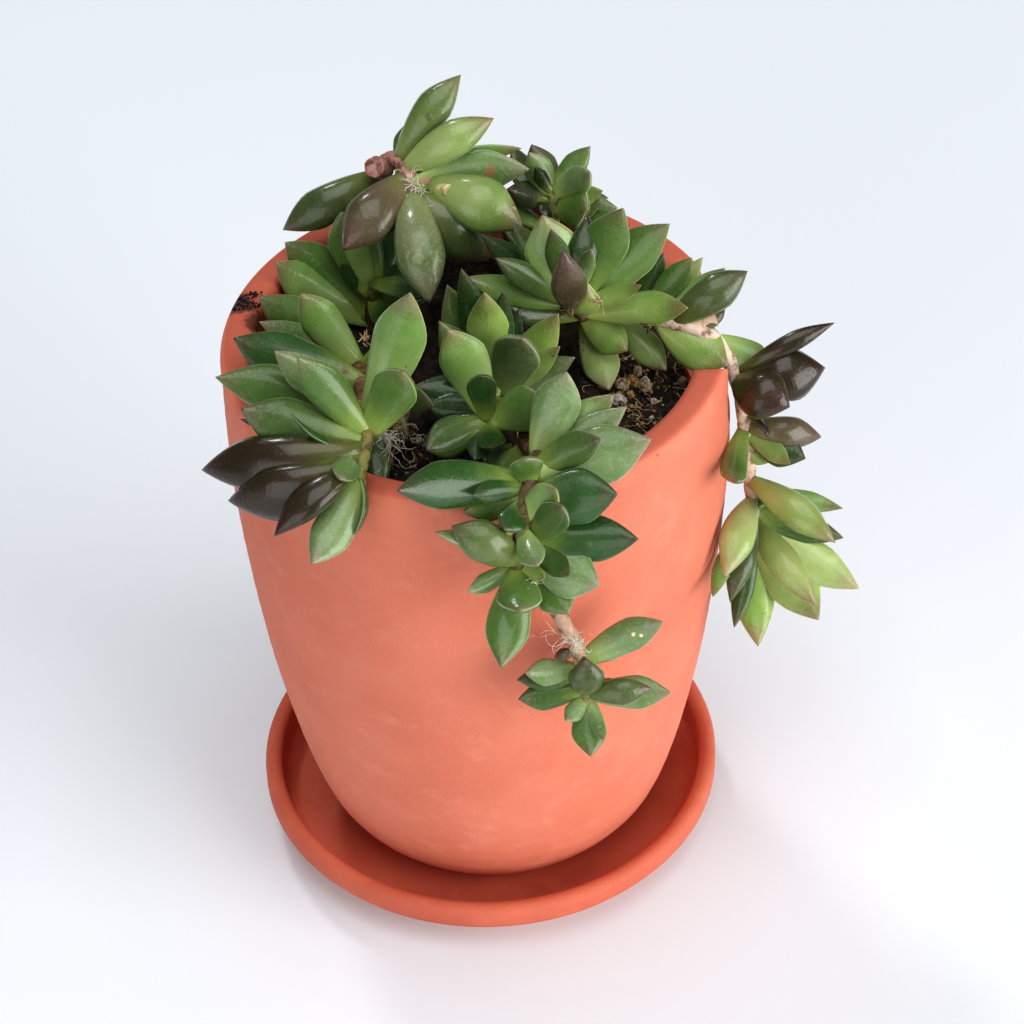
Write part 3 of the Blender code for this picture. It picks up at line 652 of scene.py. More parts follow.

# upper face, keel, rim and tip of each tone, and how much silvery bloom it has. The tones run from dark to
# pale; a leaf's tone is partly its own colour and partly painted light and shade, and the palest, h, is the
# painted glow of leaves lit from behind
toneRange = (0.88, 1.1)
leafTonesAndLight = {
    "a": (rgb(54, 62, 34), rgb(58, 44, 30), rgb(116, 88, 72), rgb(64, 38, 34), 0.05),
    "b": (rgb(56, 90, 44), rgb(58, 78, 42), rgb(124, 142, 100), rgb(74, 68, 50), 0.1),
    "c": (rgb(84, 108, 58), rgb(88, 98, 60), rgb(150, 162, 122), rgb(94, 84, 64), 0.2),
    "m": (rgb(104, 102, 76), rgb(102, 86, 70), rgb(166, 138, 124), rgb(90, 60, 56), 0.2),
    "d": (rgb(106, 134, 72), rgb(110, 124, 74), rgb(174, 186, 142), rgb(114, 106, 76), 0.2),
    "e": (rgb(132, 152, 106), rgb(130, 138, 100), rgb(186, 194, 164), rgb(128, 120, 96), 0.7),
    "f": (rgb(150, 176, 110), rgb(148, 164, 104), rgb(206, 214, 166), rgb(118, 90, 70), 0.2),
    "g": (rgb(174, 196, 118), rgb(172, 184, 116), rgb(218, 224, 174), rgb(124, 92, 72), 0.15),
    "h": (rgb(200, 214, 150), rgb(196, 204, 144), rgb(230, 236, 190), rgb(160, 142, 108), 0.1),
}


def leafTree():
    # grows a leaf at each starting point from its axes, length, width and seed
    graph, given = newTree("leaf", {**leafShape, "Finish": None})
    ball = graph.add("GeometryNodeMeshUVSphere", None, {"Segments": given["Sides"], "Rings": given["Rings"],
                                                        "Radius": 1.0})
    # part runs from 0 at the base to 1 at the tip, across from edge to edge, upper from keel to face
    x, y, z = graph.split(graph.add("GeometryNodeInputPosition"))
    around = (x * x + y * y) ** 0.5
    around = around.math("MAXIMUM", around, 0.0001)
    part = 1 - z.math("ARCCOSINE", z) / pi
    step = 1 / given["Rings"]
    part = part.math("MAXIMUM", (part - step) / (1 - step), 0.0)
    part = 1 - (1 - part) ** leafForm["ringsToTip"]
    for name, value in (("part", part), ("across", x / around), ("upper", y / around)):
        ball = keep(graph, ball, name, value)
    shape = scattered(graph, given["Geometry"], ball)
    part, across, upper = (read(graph, name) for name in ("part", "across", "upper"))
    length, width, seed = (read(graph, name) for name in ("leafLength", "leafWidth", "seed"))
    length = length * given["Reach"]
    rise = part.math("MINIMUM", part / given["Broadest"], 1.0) * (pi / 2)
    fall = part.math("MAXIMUM", (part - given["Broadest"]) / (1 - given["Broadest"]), 0.0)
    breadth = given["Neck"] + (1 - given["Neck"]) * rise.math("SINE", rise) - fall ** given["Point"]
    depth = part.math("SINE", part.math("MINIMUM", part * 1.2, 1.0) * pi) * 0.25 + 0.75
    depth = width * given["Thickness"] * depth * (0.55 + 0.45 * breadth)
    depth = depth * (1 - fall ** leafForm["tipBluntness"])
    hollow = given["Groove"] * (1 - across * across) * graph.ease(part, 0.02, 0.4)
    face = upper * (leafForm["faceHeight"] - hollow)
    keel = 0 - leafForm["keelDepth"] * (upper.math("ABSOLUTE", upper) ** leafForm["keelRoundness"])
    level = upper.math("GREATER_THAN", upper, 0.0)
    level = face * level + keel * (1 - level)
    middle = given["Bow"] * length * 4 * part * (part - 1)
    wave = part.math("SINE", part * 7 + seed * 20) * leafForm["wave"] + 1
    sideways = across * breadth * width * 0.5 * wave + seed * length * leafForm["sway"] * part * (1 - part)
    place = graph.stretched(readVector(graph, "side"), sideways)
    for axis, amount in (("along", length * part), ("face", middle + level * depth), ("base", 1.0)):
        place = graph.vector("ADD", place, graph.stretched(readVector(graph, axis), amount))
    return endTree(graph, moved(graph, shape, place), given["Finish"])


def leafAxes(heading, lean, turn=0):
    # across, along and out of a leaf's face, for its heading in the view and its lean toward the viewer
    flat = cos(radians(heading)) * viewRight + sin(radians(heading)) * viewUp
    along = cos(radians(lean)) * flat + sin(radians(lean)) * viewOut
    face = (viewOut - viewOut.dot(along) * along).normalized()
    face = cos(radians(turn)) * face + sin(radians(turn)) * along.cross(face)
    return along.cross(face), along, face


def alongPath(path, part):
    # the place and the direction at this part of a path's length
    lengths = [(b - a).length for a, b in zip(path, path[1:])]
    left = part * sum(lengths)
    for a, b, length in zip(path, path[1:], lengths):
        if left <= length:
            return a.lerp(b, left / length), (b - a).normalized()
        left -= length
    return path[-1], (path[-1] - path[-2]).normalized()


def whorlLeaves(paths, whorl):
    # leaves grown round a stem at the golden angle, upper faces to its tip; bare ones are left out
    stem, first, last, count, length, width, splay, start, bare, tone = whorl
    for number in range(count):
        if number in bare:
            continue
        base, tangent = alongPath(paths[stem], first + (last - first) * number / (count - 1))
        across = tangent.cross(viewRight).normalized()
        radial = Matrix.Rotation(radians(start) + number * goldenAngle, 3, tangent) @ across
        along = cos(radians(splay)) * tangent + sin(radians(splay)) * radial
        face = (tangent - tangent.dot(along) * along).normalized()
        size = 1 - whorlSwing * sin(number * 2.4)
        yield base, (along.cross(face), along, face), length * size, width * size, tone


# small scars and spots: place in millimetres, radius, colour and strength
leafMarks = (
    ((10.2, 19.6, 150.9), 0.8, rgb(206, 184, 132), 0.9), ((9.7, 20.6, 150.4), 0.4, rgb(120, 84, 54), 0.8),
    ((30.2, -57.8, 101.8), 0.5, rgb(236, 214, 160), 1.0),
    ((31.7, -58.4, 102.0), 0.45, rgb(236, 214, 160), 1.0),
    ((-12.6, -31.0, 150.7), 0.25, rgb(150, 60, 50), 0.9), ((23.1, 5.5, 125.8), 0.25, rgb(150, 60, 50), 0.9),
    ((23.1, 4.2, 124.7), 0.25, rgb(150, 60, 50), 0.9), ((16.5, -11.5, 136.2), 0.25, rgb(150, 60, 50), 0.9),
    ((5.1, 27.6, 154.2), 1.6, rgb(170, 96, 76), 0.5), ((-10.2, 6.6, 148.5), 1.4, rgb(176, 186, 140), 0.3),
)


def leafFinish():
    finish, graph, shader = newFinish("sandRoseLeaf", Metallic=0.0, Specular_IOR_Level=0.35, Coat_Weight=0.35,
                                      Coat_Roughness=0.08)
    facts, tints = ("part", "across", "upper", "seed", "bloom"), ("topTint", "keelTint", "rimTint", "tipTint")
    part, across, upper, seed, bloom = (readName(graph, name, "Fac") for name in facts)
    top, keel, rim, tip = (readName(graph, name, "Color") for name in tints)
    place = objectPlace(graph)
    patch = graph.cloud(place, 3.2 * mm, 4.0)
    fine = graph.cloud(place, 0.55 * mm, 2.0)
    under = graph.ease(upper + (patch - 0.5) * 0.5, -0.05, -0.6)
    colour = graph.mix(top, keel, under)
    # darker green in blotches from the leaf's middle towards its tip: partly the leaf's own deeper green and
    # partly painted shade
    deepGreenAndShade = graph.ease(graph.cloud(place, 8 * mm, 2.0) + seed * 0.05, 0.36, 0.64)
    deepGreenAndShade = (deepGreenAndShade * 0.6 + 0.4) * graph.ease(part, 0.1, 0.7) * graph.ease(part, 1.0, 0.8)
    colour = graph.mix(colour, graph.mix(colour, rgb(150, 190, 96), 1.0, "MULTIPLY"), deepGreenAndShade * 0.62)
    base = graph.ease(part + (patch - 0.5) * 0.2, 0.46, 0.02)
    colour = graph.mix(colour, rgb(168, 190, 84), base * 0.5 * (1 - under * 0.6))
    ends = graph.ease(part + (patch - 0.5) * 0.2, 0.7, 0.98)
    colour = graph.mix(colour, tip, ends * 0.7)
    edge = across.math("ABSOLUTE", across)
    edge = graph.ease(edge + (patch - 0.5) * 0.06, 0.95, 0.995) * graph.ease(part, 0.2, 0.45)
    colour = graph.mix(colour, rim, edge * 0.8)
    dust = graph.ease(graph.cloud(place, 0.9 * mm, 5.0, 0.7), 0.5, 0.68) * bloom
    colour = graph.mix(colour, rgb(186, 194, 178), dust * 0.35)
    crust = graph.ease(graph.spots(place, 0.5 * mm), 0.2, 0.08)
    crust = crust * graph.ease(graph.cloud(place, 2.6 * mm), 0.6, 0.72)
    colour = graph.mix(colour, rgb(214, 216, 190), crust * 0.55)
    for centre, size, tint, strength in leafMarks:
        offset = graph.vector("SUBTRACT", place, tuple(part * mm for part in centre))
        aside = graph.vector("LENGTH", graph.vector("CROSS_PRODUCT", offset, tuple(viewOut)))
        near = graph.ease(graph.vector("LENGTH", offset), 4 * mm, 3 * mm)
        ragged = aside + (fine - 0.5) * (size * 0.8 * mm)
        colour = graph.mix(colour, tint, graph.ease(ragged, size * mm, size * 0.6 * mm) * near * strength)
    wrinkles = graph.cloud(place, 0.8 * mm, 2.0) * graph.ease(part, 0.45, 0.85)
    height = fine * 0.6 + patch * 0.9 + wrinkles * 1.4
    painted(graph, shader, colour, height, 0.09 * mm, 0.22 + fine * 0.14 + dust * 0.2)
    return finish


def threadTree():
    # a round strand along each starting line, as thick as its points say, with knobs
    graph, given = newTree("strand", {"Sides": 12, "Knobs": 0.0, "Knob Size": 2.2 * mm, "Finish": None})
    line = graph.add("GeometryNodeMeshToCurve", None, {"Mesh": given["Geometry"]})
    ring = graph.add("GeometryNodeCurvePrimitiveCircle", None, {"Resolution": given["Sides"], "Radius": 1.0})
    shape = graph.add("GeometryNodeCurveToMesh", None, {
        "Curve": line, "Profile Curve": ring, "Fill Caps": True, "Scale": read(graph, "thickness")})
    spot = graph.add("GeometryNodeInputPosition")
    lumps = graph.add("ShaderNodeTexNoise", None, {"Vector": spot, "Scale": 1 / given["Knob Size"],
                                                   "Detail": 3.0})
    push = graph.stretched(graph.add("GeometryNodeInputNormal"), (lumps - 0.5) * given["Knobs"])
    return endTree(graph, moved(graph, shape, offset=push), given["Finish"])


stemSettings = {"base": 1.9, "tip": 1.3, "sides": 16, "knobs": 1.1, "knobSize": 2.0, "steps": 10}
# colours of each stem at its root and tip
barkTints = {
    "sprig_top_left": ((rgb(186, 138, 126), rgb(190, 140, 128)), (rgb(186, 138, 126), rgb(190, 140, 128))),
    "sprig_left": ((rgb(124, 88, 64), rgb(136, 146, 76)), (rgb(160, 116, 84), rgb(126, 138, 74))),
    "sprig_left_back": ((rgb(112, 84, 62), rgb(110, 126, 66)),),
    "sprig_centre": ((rgb(120, 100, 70), rgb(104, 124, 60)),),
    "sprig_front": ((rgb(112, 84, 62), rgb(116, 134, 70)), (rgb(186, 152, 128), rgb(130, 140, 84))),
    "sprig_right": ((rgb(150, 120, 92), rgb(140, 132, 84)), (rgb(238, 212, 196), rgb(222, 200, 172))),
    "sprig_back": ((rgb(128, 108, 76), rgb(130, 138, 80)),),
}
# short cut stubs: ends and radius in millimetres, and colour
cutStubs = {
    "sprig_top_left": (((-7.5, 27.0, 151.5), (-3.6, 21.6, 154.4), 1.15, rgb(222, 214, 160)),
                       ((-17.0, 35.5, 150.0), (-19.0, 32.0, 153.5), 2.3, rgb(190, 142, 130))),
    "sprig_right": (((44.0, 1.0, 133.0), (50.5, 1.5, 134.2), 1.7, rgb(224, 192, 168)),),
}


def barkFinish():
    finish, graph, shader = newFinish("stemBark", Metallic=0.0, Specular_IOR_Level=0.35)
    place = objectPlace(graph)
    patch = graph.cloud(place, 2.4 * mm, 5.0, 0.65)
    tint = readName(graph, "tint", "Color")
    dark = graph.mix(tint, rgb(150, 132, 120), 1.0, "MULTIPLY")
    colour = graph.mix(tint, dark, graph.ease(patch, 0.52, 0.34))
    colour = graph.mix(colour, rgb(226, 206, 184), graph.ease(patch, 0.54, 0.74) * 0.5)
    painted(graph, shader, colour, graph.cloud(place, 0.8 * mm, 4.0, 0.7), 0.3 * mm, 0.55 + patch * 0.25)
    return finish


def strands(name, lines, tree, **values):
    # one piece from many lines, each its root and tip tints and its points as (place, thickness)
    points, edges, thickness, tints = [], [], [], []
    for (root, tip), line in lines:
        edges += [(len(points) + i, len(points) + i + 1) for i in range(len(line) - 1)]
        points += [place * mm for place, _ in line]
        thickness += [thick * mm for _, thick in line]
        parts = [min(max(i / (len(line) - 1) * 2 - 1, 0), 1) for i in range(len(line))]
        tints += [tuple(Vector(root).lerp(Vector(tip), part)) for part in parts]
    mesh = startMesh(name + "Lines", points, edges, thickness=thickness, tint=tints)
    return grown(name, mesh, tree, **values)


# hairs and dried bits in millimetres: root, number, length, way, spread, curl, droop, radius and colour
hairTints = {"pale": rgb(236, 230, 218), "tan": rgb(176, 142, 104), "dark": rgb(74, 54, 42),
             "star": rgb(196, 168, 130)}
hairSpots = {
    "sprig_left": (
        ((-17.6, -31.5, 133.5), 44, 12, (0.7, -0.1, -0.8), 0.5, 0.5, 0.04, 0.08, "pale"),
        ((-15.5, -28.0, 134.0), 16, 8, (0.9, 0.1, -0.2), 0.6, 0.35, 0.02, 0.07, "tan"),
        ((-25.5, -12.5, 136.5), 9, 4.5, (-0.6, -0.3, 0.6), 0.5, 0.4, 0.02, 0.07, "tan"),
        ((-21.5, -7.0, 139.0), 9, 2.6, (0, -0.7, 0.7), 1.0, 0.1, 0.0, 0.2, "star"),
    ),
    "sprig_top_left": (
        ((-10.8, 24.5, 154.2), 22, 7, (0.1, -0.5, 0.6), 0.8, 0.5, 0.0, 0.07, "pale"),
        ((-9.5, 23.0, 153.6), 12, 6, (0.2, -0.6, -0.3), 0.7, 0.5, 0.05, 0.07, "pale"),
    ),
    "sprig_centre": (
        ((8.2, -21.5, 127.0), 9, 3, (0, -0.7, 0.7), 1.0, 0.15, 0.0, 0.2, "star"),
        ((-11.0, -22.5, 126.0), 8, 4.5, (-0.3, -0.5, -0.4), 0.8, 0.5, 0.02, 0.07, "pale"),
    ),
    "sprig_front": (
        ((10.5, -65.6, 125.6), 7, 4.5, (0.1, -0.4, -0.8), 0.5, 0.55, 0.02, 0.08, "pale"),
        ((19.0, -62.0, 104.2), 26, 4.5, (0.1, -0.7, 0.3), 0.9, 0.4, 0.02, 0.07, "pale"),
        ((16.5, -61.5, 105.0), 8, 9, (-0.9, -0.2, 0.1), 0.35, 0.3, 0.03, 0.06, "pale"),
        ((12.0, -46.0, 139.0), 7, 3, (0, -0.6, 0.7), 0.9, 0.2, 0.0, 0.16, "tan"),
    ),
    "sprig_right": (
        ((26.3, -3.0, 143.4), 9, 3.2, (0.2, -0.7, 0.7), 1.0, 0.15, 0.0, 0.2, "star"),
        ((18.8, -2.0, 140.8), 10, 2.6, (-0.4, -0.6, 0.3), 0.9, 0.3, 0.0, 0.2, "dark"),
        ((36.4, -1.2, 134.2), 9, 2.8, (-0.2, -0.7, 0.3), 0.9, 0.3, 0.0, 0.2, "dark"),
        ((20.5, -3.2, 141.2), 8, 3, (-0.2, -0.7, 0.2), 0.9, 0.3, 0.0, 0.12, "tan"),
    ),
}
hairSettings = {"steps": 14, "sides": 5, "scatter": 0.4, "shortest": 0.45, "taper": 0.6}


def hairLines(rng, root, count, length, way, spread, curl, droop, radius, tint):
    # thin curling hairs that start round one place
    settings, steps = hairSettings, hairSettings["steps"]
    lines = []
    for _ in range(count):
        heading = (Vector(way) + Vector(rng.normal(0, spread, 3))).normalized()
        place = Vector(root) + Vector(rng.normal(0, settings["scatter"], 3))
        stride = length * rng.uniform(settings["shortest"], 1) / steps
        line = []
        for step in range(steps + 1):
            line.append((place.copy(), radius * (1 - settings["taper"] * step / steps)))
            heading = (heading + Vector(rng.normal(0, curl, 3)) + Vector((0, 0, -droop))).normalized()
            place += heading * stride
        lines.append(((hairTints[tint], hairTints[tint]), line))
    return lines


def makeHairs(name, spots, tree, finish):
    rng = np.random.default_rng(7)
    lines = [line for spot in spots for line in hairLines(rng, *spot)]
    return strands(name.replace("sprig_", "hairs_"), lines, tree, Finish=finish, Sides=hairSettings["sides"])


def stemPath(points, steps):
    return [Vector(place) for place in eased(points, steps)]


def makeSprig(name, sprig, trees, finishes):
    rng = np.random.default_rng(sum(ord(letter) for letter in name))
    paths = [stemPath(points, 2) for points in sprig["stems"]]
    leaves = []
    for stem, part, heading, lean, length, width, tone, *turn in sprig["leaves"]:
        leaves.append((alongPath(paths[stem], part)[0], leafAxes(heading, lean, *turn), length, width, tone))
    for whorl in sprig["whorls"]:
        leaves += list(whorlLeaves(paths, whorl))
    bases = [base * mm for base, *_ in leaves]
    sides, alongs, faces = ([tuple(axes[i]) for _, axes, *_ in leaves] for i in range(3))
    # each leaf's tone colours, which hold painted light and shade as well as its own colour
    tints = [leafTonesAndLight[tone] for *_, tone in leaves]
    # each leaf is a little lighter or darker than its tone
    vary = rng.uniform(*toneRange, (len(leaves), 1))
    shades = np.hstack([vary, vary, vary, np.ones_like(vary)])
    top, keel, rim, tip = (np.array([tint[i] for tint in tints]) * shades for i in range(4))
    mesh = startMesh(
        name + "Bases", bases, base=[tuple(base) for base in bases], side=sides, along=alongs, face=faces,
        leafLength=[length * mm for _, _, length, *_ in leaves], leafWidth=[leaf[3] * mm for leaf in leaves],
        seed=rng.uniform(-1, 1, len(leaves)), bloom=[tint[4] for tint in tints],
        topTint=top, keelTint=keel, rimTint=rim, tipTint=tip)
    foliage = grown(name.replace("sprig_", "leaves_"), mesh, trees["leaf"], Finish=finishes["leaf"],
                    **leafShape)
    lines = []
    for points, tint in zip(sprig["stems"], barkTints[name]):
        path = stemPath(points, stemSettings["steps"])
        taper = (stemSettings["tip"] - stemSettings["base"]) / (len(path) - 1)
        lines.append((tint, [(place, stemSettings["base"] + taper * i) for i, place in enumerate(path)]))
    for start, end, radius, tint in cutStubs.get(name, ()):
        lines.append(((tint, tint), [(Vector(start).lerp(Vector(end), i / 4), radius) for i in range(5)]))
    wood = strands(name.replace("sprig_", "stems_"), lines, trees["strand"], Finish=finishes["stem"],
                   Sides=stemSettings["sides"], Knobs=stemSettings["knobs"] * mm,
                   **{"Knob Size": stemSettings["knobSize"] * mm})
    return foliage, wood


# every sprig in millimetres and degrees. Stems are rows of points. A leaf is its stem, the part of the stem
# below it, heading, lean toward the viewer, length, width and tone, and its turn where it has one. A whorl
# is its stem, first and last part, number of leaves, length, width, splay, first turn, bare ones and tone.
sprigs = {
    "sprig_top_left": {
        "stems": (
            ((-15, 31, 114), (-19, 34, 134), (-19.5, 36, 147), (-15.5, 35.5, 153), (-12.5, 30, 154),
             (-11.5, 24, 152)),
            ((-12.5, 28, 153), (-6, 26.5, 152), (-4, 26, 152)),
        ),
        "leaves": (
            (0, 0.82, 51, 13, 22.5, 7.5, "d", 180), (0, 0.84, 54, 34, 14, 5, "d"),
            (0, 0.8, 77, -10, 7.5, 2.5, "c"), (0, 0.75, 126, 0, 1.5, 3, "m"),
            (0, 0.88, 26, 15, 22, 8, "f", 180), (1, 0.2, 15, -5, 24, 5, "f", 40),
            (0, 0.97, 6, 5, 25.5, 9, "e", 25), (1, 0.61, -28, 10, 22, 11.5, "f", 180),
            (0, 1, -42, -15, 22, 11, "c", 180), (0, 1, -82, 20, 25.5, 10.5, "e", 180),
            (1, 0, -131, 22, 22, 10.5, "m", 180), (0, 0.65, -152, 0, 23, 8.5, "c", 180),
        ),
        "whorls": (
            (0, 0.45, 0.97, 13, 18, 7, 62, 30, (0, 1, 3, 4, 5, 6, 8, 10, 11), "d"),
        ),
    },
    "sprig_left": {
        "stems": (
            ((-24, 10, 114), (-23.5, 2, 125), (-22.5, -12, 132), (-21.5, -26, 137.5), (-20.5, -37, 140.5),
             (-21.5, -44, 140), (-22.5, -49, 137.5)),
            ((-22, -28, 138), (-28, -35, 139.5), (-34, -39, 139)),
        ),
        "leaves": (
            (0, 0.2, 144, 8, 25.5, 10.5, "d"), (0, 0.24, 154, 6, 23, 6.5, "e"),
            (0, 0.29, 126, 30, 22, 8.5, "f"), (0, 0.47, 158, 8, 28, 11.5, "b"),
            (1, 0.05, 165, 4, 29.5, 9.5, "d"), (1, 0.14, 140, 14, 20.5, 7, "e"),
            (0, 0.86, 128, 28, 23, 8, "d"), (0, 0.78, 68, 30, 30.5, 10.5, "f"),
            (0, 0.84, 54, 50, 21.5, 9.5, "d"), (0, 0.9, 160, 6, 25.5, 11, "c"),
            (0, 0.9, 152, 24, 17, 3, "b", 70), (0, 0.92, -169, 6, 21, 6.5, "a"),
            (0, 0.91, 163, -14, 26.5, 5, "a"), (0, 0.91, -176, -12, 33.5, 11, "a", 180),
            (0, 0.95, -167, -10, 28, 11.5, "a", 160), (0, 0.96, -143, 10, 22, 7, "a", 200),
            (0, 0.99, -120, 14, 20, 8.5, "e"), (0, 0.99, -97, 4, 11.5, 3.5, "c", 90),
            (0, 0.89, -126, 56, 14, 5.5, "e"),
        ),
        "whorls": (
            (0, 0.25, 0.97, 14, 18, 7.5, 60, 165, (0, 2, 4, 5, 7, 10, 11, 12, 13), "c"),
        ),
    },
    "sprig_left_back": {
        "stems": (
            ((-21, 20, 114), (-21, 21, 124), (-20, 19, 133)),
        ),
        "leaves": (
            (0, 0.44, 138, 28, 26.5, 10, "d"), (0, 0.39, 148, 32, 27, 10, "f"),
            (0, 0.39, 136, 10, 17, 9, "c"), (0, 0.8, 109, 30, 20.5, 11.5, "d"),
            (0, 0.76, 104, 52, 20.5, 5, "f"), (0, 0.44, 78, 22, 11.5, 5.5, "c"),
            (0, 0.64, 33, 22, 12.5, 8.5, "b"), (0, 0.68, 129, 44, 13.5, 3.5, "b"),
            (0, 0.52, -15, -2, 7, 6.5, "b"),
        ),
        "whorls": (
            (0, 0.35, 1, 8, 15, 7, 60, 15, (0, 1, 3, 6), "b"),
        ),
    },
    "sprig_centre": {
        "stems": (
            ((4, -4, 114), (4, -11, 124), (3.5, -21, 131), (3, -29, 134)),
        ),
        "leaves": (
            (0, 0.43, 92, 34, 26.5, 8.5, "g"), (0, 0.94, 113, 36, 23.5, 9.5, "f"),
            (0, 0.4, 60, 58, 25.5, 10, "e"), (0, 0.43, 51, 20, 24, 7.5, "g"), (0, 1, 96, 60, 17.5, 6, "b"),
            (0, 1, 18, 40, 15.5, 9, "d"), (0, 0.4, 27, 4, 19.5, 6.5, "e"), (0, 0.43, 72, 6, 20.5, 6, "b"),
            (0, 0.5, 121, 12, 20.5, 7.5, "d"), (0, 0.62, 165, -4, 17, 8.5, "b"),
            (0, 0.88, 169, -12, 13.5, 7, "b"), (0, 1, -158, 20, 14.5, 8, "c"),
            (0, 1, -163, -6, 14.5, 7.5, "b"), (0, 1, -84, 54, 9, 5.5, "b"), (0, 1, -112, 24, 9, 5, "b"),
            (0, 0.43, 109, 12, 26.5, 8, "d"), (0, 0.4, 37, 30, 20.5, 5, "g"),
            (0, 0.45, 101, 22, 30, 6.5, "b"), (0, 0.5, 82, 22, 24.5, 6, "b"),
        ),
        "whorls": (
            (0, 0.45, 0.99, 12, 15, 7, 62, 120, (3, 4, 5, 6, 7, 8, 10, 11), "b"),
        ),
    },
    "sprig_front": {
        "stems": (
            ((8, -16, 114), (10, -28, 127), (12.5, -42, 136.5), (11.5, -50, 139.5), (9, -58, 135.5),
             (8, -62, 127), (7.8, -63, 123)),
            ((9, -60, 131), (12, -59.5, 121), (15.5, -59.5, 110), (19, -60, 100), (20.5, -61, 90),
             (20.8, -62, 87)),
        ),
        "leaves": (
            (0, 0.58, 69, 22, 19, 9.5, "e"), (0, 0.59, 38, -6, 20, 7.5, "f"), (0, 0.64, 31, -8, 22, 7, "e"),
            (0, 0.68, 15, 2, 24.5, 11.5, "e"), (0, 0.65, 21, 28, 16, 7, "c"), (0, 0.66, -19, 4, 11, 6, "d"),
            (0, 0.71, 95, 50, 8, 6.5, "d"), (0, 0.7, -178, 26, 28.5, 9.5, "b"),
            (0, 0.72, -174, 30, 12.5, 4.5, "b"), (0, 0.81, 38, 42, 11.5, 6.5, "f"),
            (0, 0.77, 4, 10, 18.5, 11, "b"), (1, 0.04, 0, 2, 22, 9.5, "b"), (1, 0.06, 48, 56, 18, 7, "c"),
            (0, 0.76, -128, 34, 8.5, 6, "b"), (0, 0.74, -166, 0, 13, 6.5, "d"),
            (0, 0.82, -175, 2, 17, 7, "f", 60), (0, 0.94, 151, 18, 15.5, 8.5, "d", 180),
            (0, 0.84, -69, 46, 11.5, 5.5, "e"), (1, 0.06, -37, 38, 12.5, 5, "c"),
            (1, 0.11, -27, 12, 15, 10, "e"), (1, 0.19, -59, 14, 11.5, 8, "d"),
            (0, 0.96, -102, 12, 20.5, 8.5, "d"), (0, 0.96, -91, 46, 12.5, 9, "d"),
            (0, 0.96, -155, 12, 11.5, 4, "e"), (0, 0.95, -33, 48, 8.5, 3, "g"),
            (0, 0.16, -147, 52, 13, 7.5, "c"), (1, 0.77, 24, 14, 19, 7, "e"),
            (1, 0.71, -167, -8, 5, 2.5, "m", 180), (1, 0.81, -178, 14, 12, 5.5, "e"),
            (1, 0.83, -175, -2, 13.5, 5.5, "c"), (1, 0.92, -173, 6, 14, 6, "c"),
            (1, 0.94, 90, 44, 10, 7.5, "c", 180), (1, 0.96, -134, 34, 8, 4, "e"),
            (1, 0.96, -89, 10, 12.5, 7, "d"), (1, 0.96, -72, 30, 11, 3, "e"),
            (1, 0.95, 3, 10, 13.5, 5.5, "c", 180), (1, 0.95, -2, -8, 17.5, 7, "e"),
            (1, 0.93, 10, 4, 7.5, 2.5, "e"),
        ),
        "whorls": (
            (0, 0.3, 0.97, 12, 15, 7, 62, 135, (2, 3, 4, 5, 6, 7, 8, 9, 10, 11), "d"),
            (1, 0.8, 1, 6, 11, 5, 62, 225, (1, 3, 4, 5), "d"),
        ),
    },
    "sprig_right": {
        "stems": (
            ((25, 14, 114), (24, 10, 127), (22.2, 3, 137), (20.9, -1, 141)),
            ((24.5, 11, 125), (30, 8, 131), (37, 3.6, 133.5), (44, 1, 133), (50.1, -1.5, 130.5),
             (54.5, -5, 122.5), (56, -8, 113), (57.3, -8, 99), (58, -8, 90), (58.3, -8, 86)),
        ),
        "leaves": (
            (0, 1, 164, 6, 23, 6, "d"), (0, 1, 148, 20, 19.5, 5.5, "c"), (0, 1, 124, 0, 21, 6.5, "c"),
            (0, 1, 105, 34, 18.5, 5, "c"), (0, 1, 107, 18, 20, 11, "f"),
            (0, 1, 101, 64, 22.5, 7.5, "m", 180), (0, 0.82, 71, 66, 12, 9, "g", 180),
            (0, 0.92, 61, 30, 24.5, 9.5, "d"), (0, 0.92, 80, 12, 19, 6.5, "b", 180),
            (0, 0.91, 55, 20, 18, 5, "c"), (0, 0.92, 38, 14, 26, 10, "d"), (0, 0.91, 13, 30, 16, 4, "g"),
            (0, 0.71, -2, 24, 24, 7.5, "g"), (0, 1, 69, 50, 17, 4, "e"), (0, 0.88, 22, 2, 14, 5, "f"),
            (0, 0.61, -42, 16, 12.5, 7.5, "g"), (0, 0.5, -74, 18, 16.5, 8, "h"),
            (1, 0.11, -51, 12, 16.5, 6.5, "f"), (1, 0.24, -38, 18, 18.5, 10, "g"),
            (1, 0.4, -31, -2, 14.5, 7.5, "f"), (1, 0.28, 31, 14, 19, 8, "c", 180),
            (1, 0.26, 38, 4, 16.5, 4.5, "f"), (1, 0.37, 52, -4, 7.5, 3, "m", 180),
            (1, 0.18, 64, 4, 14, 5, "c"), (1, 0.21, 50, 14, 15.5, 5.5, "d"),
            (1, 0.24, 51, -4, 16, 4.5, "h"), (1, 0.51, 25, 8, 23.5, 4, "a", 180),
            (1, 0.55, 11, 6, 18.5, 11, "a", 180), (1, 0.53, -31, 32, 14, 11, "a", 180),
            (1, 0.63, -46, 30, 8, 3.5, "a", 100), (1, 0.66, -10, -12, 17, 6.5, "m", 180),
            (1, 0.68, -27, 12, 14, 7.5, "b"), (1, 0.67, -42, 26, 13, 4.5, "f"),
            (1, 0.73, -36, 0, 6, 4, "g"), (1, 0.66, -107, 64, 28, 6, "d"),
            (1, 0.85, -40, 24, 24, 7, "g", 180), (1, 0.89, -13, 4, 20, 4.5, "f"),
            (1, 0.96, -19, 0, 20.5, 6.5, "c"), (1, 1, -35, 8, 27, 9, "h"),
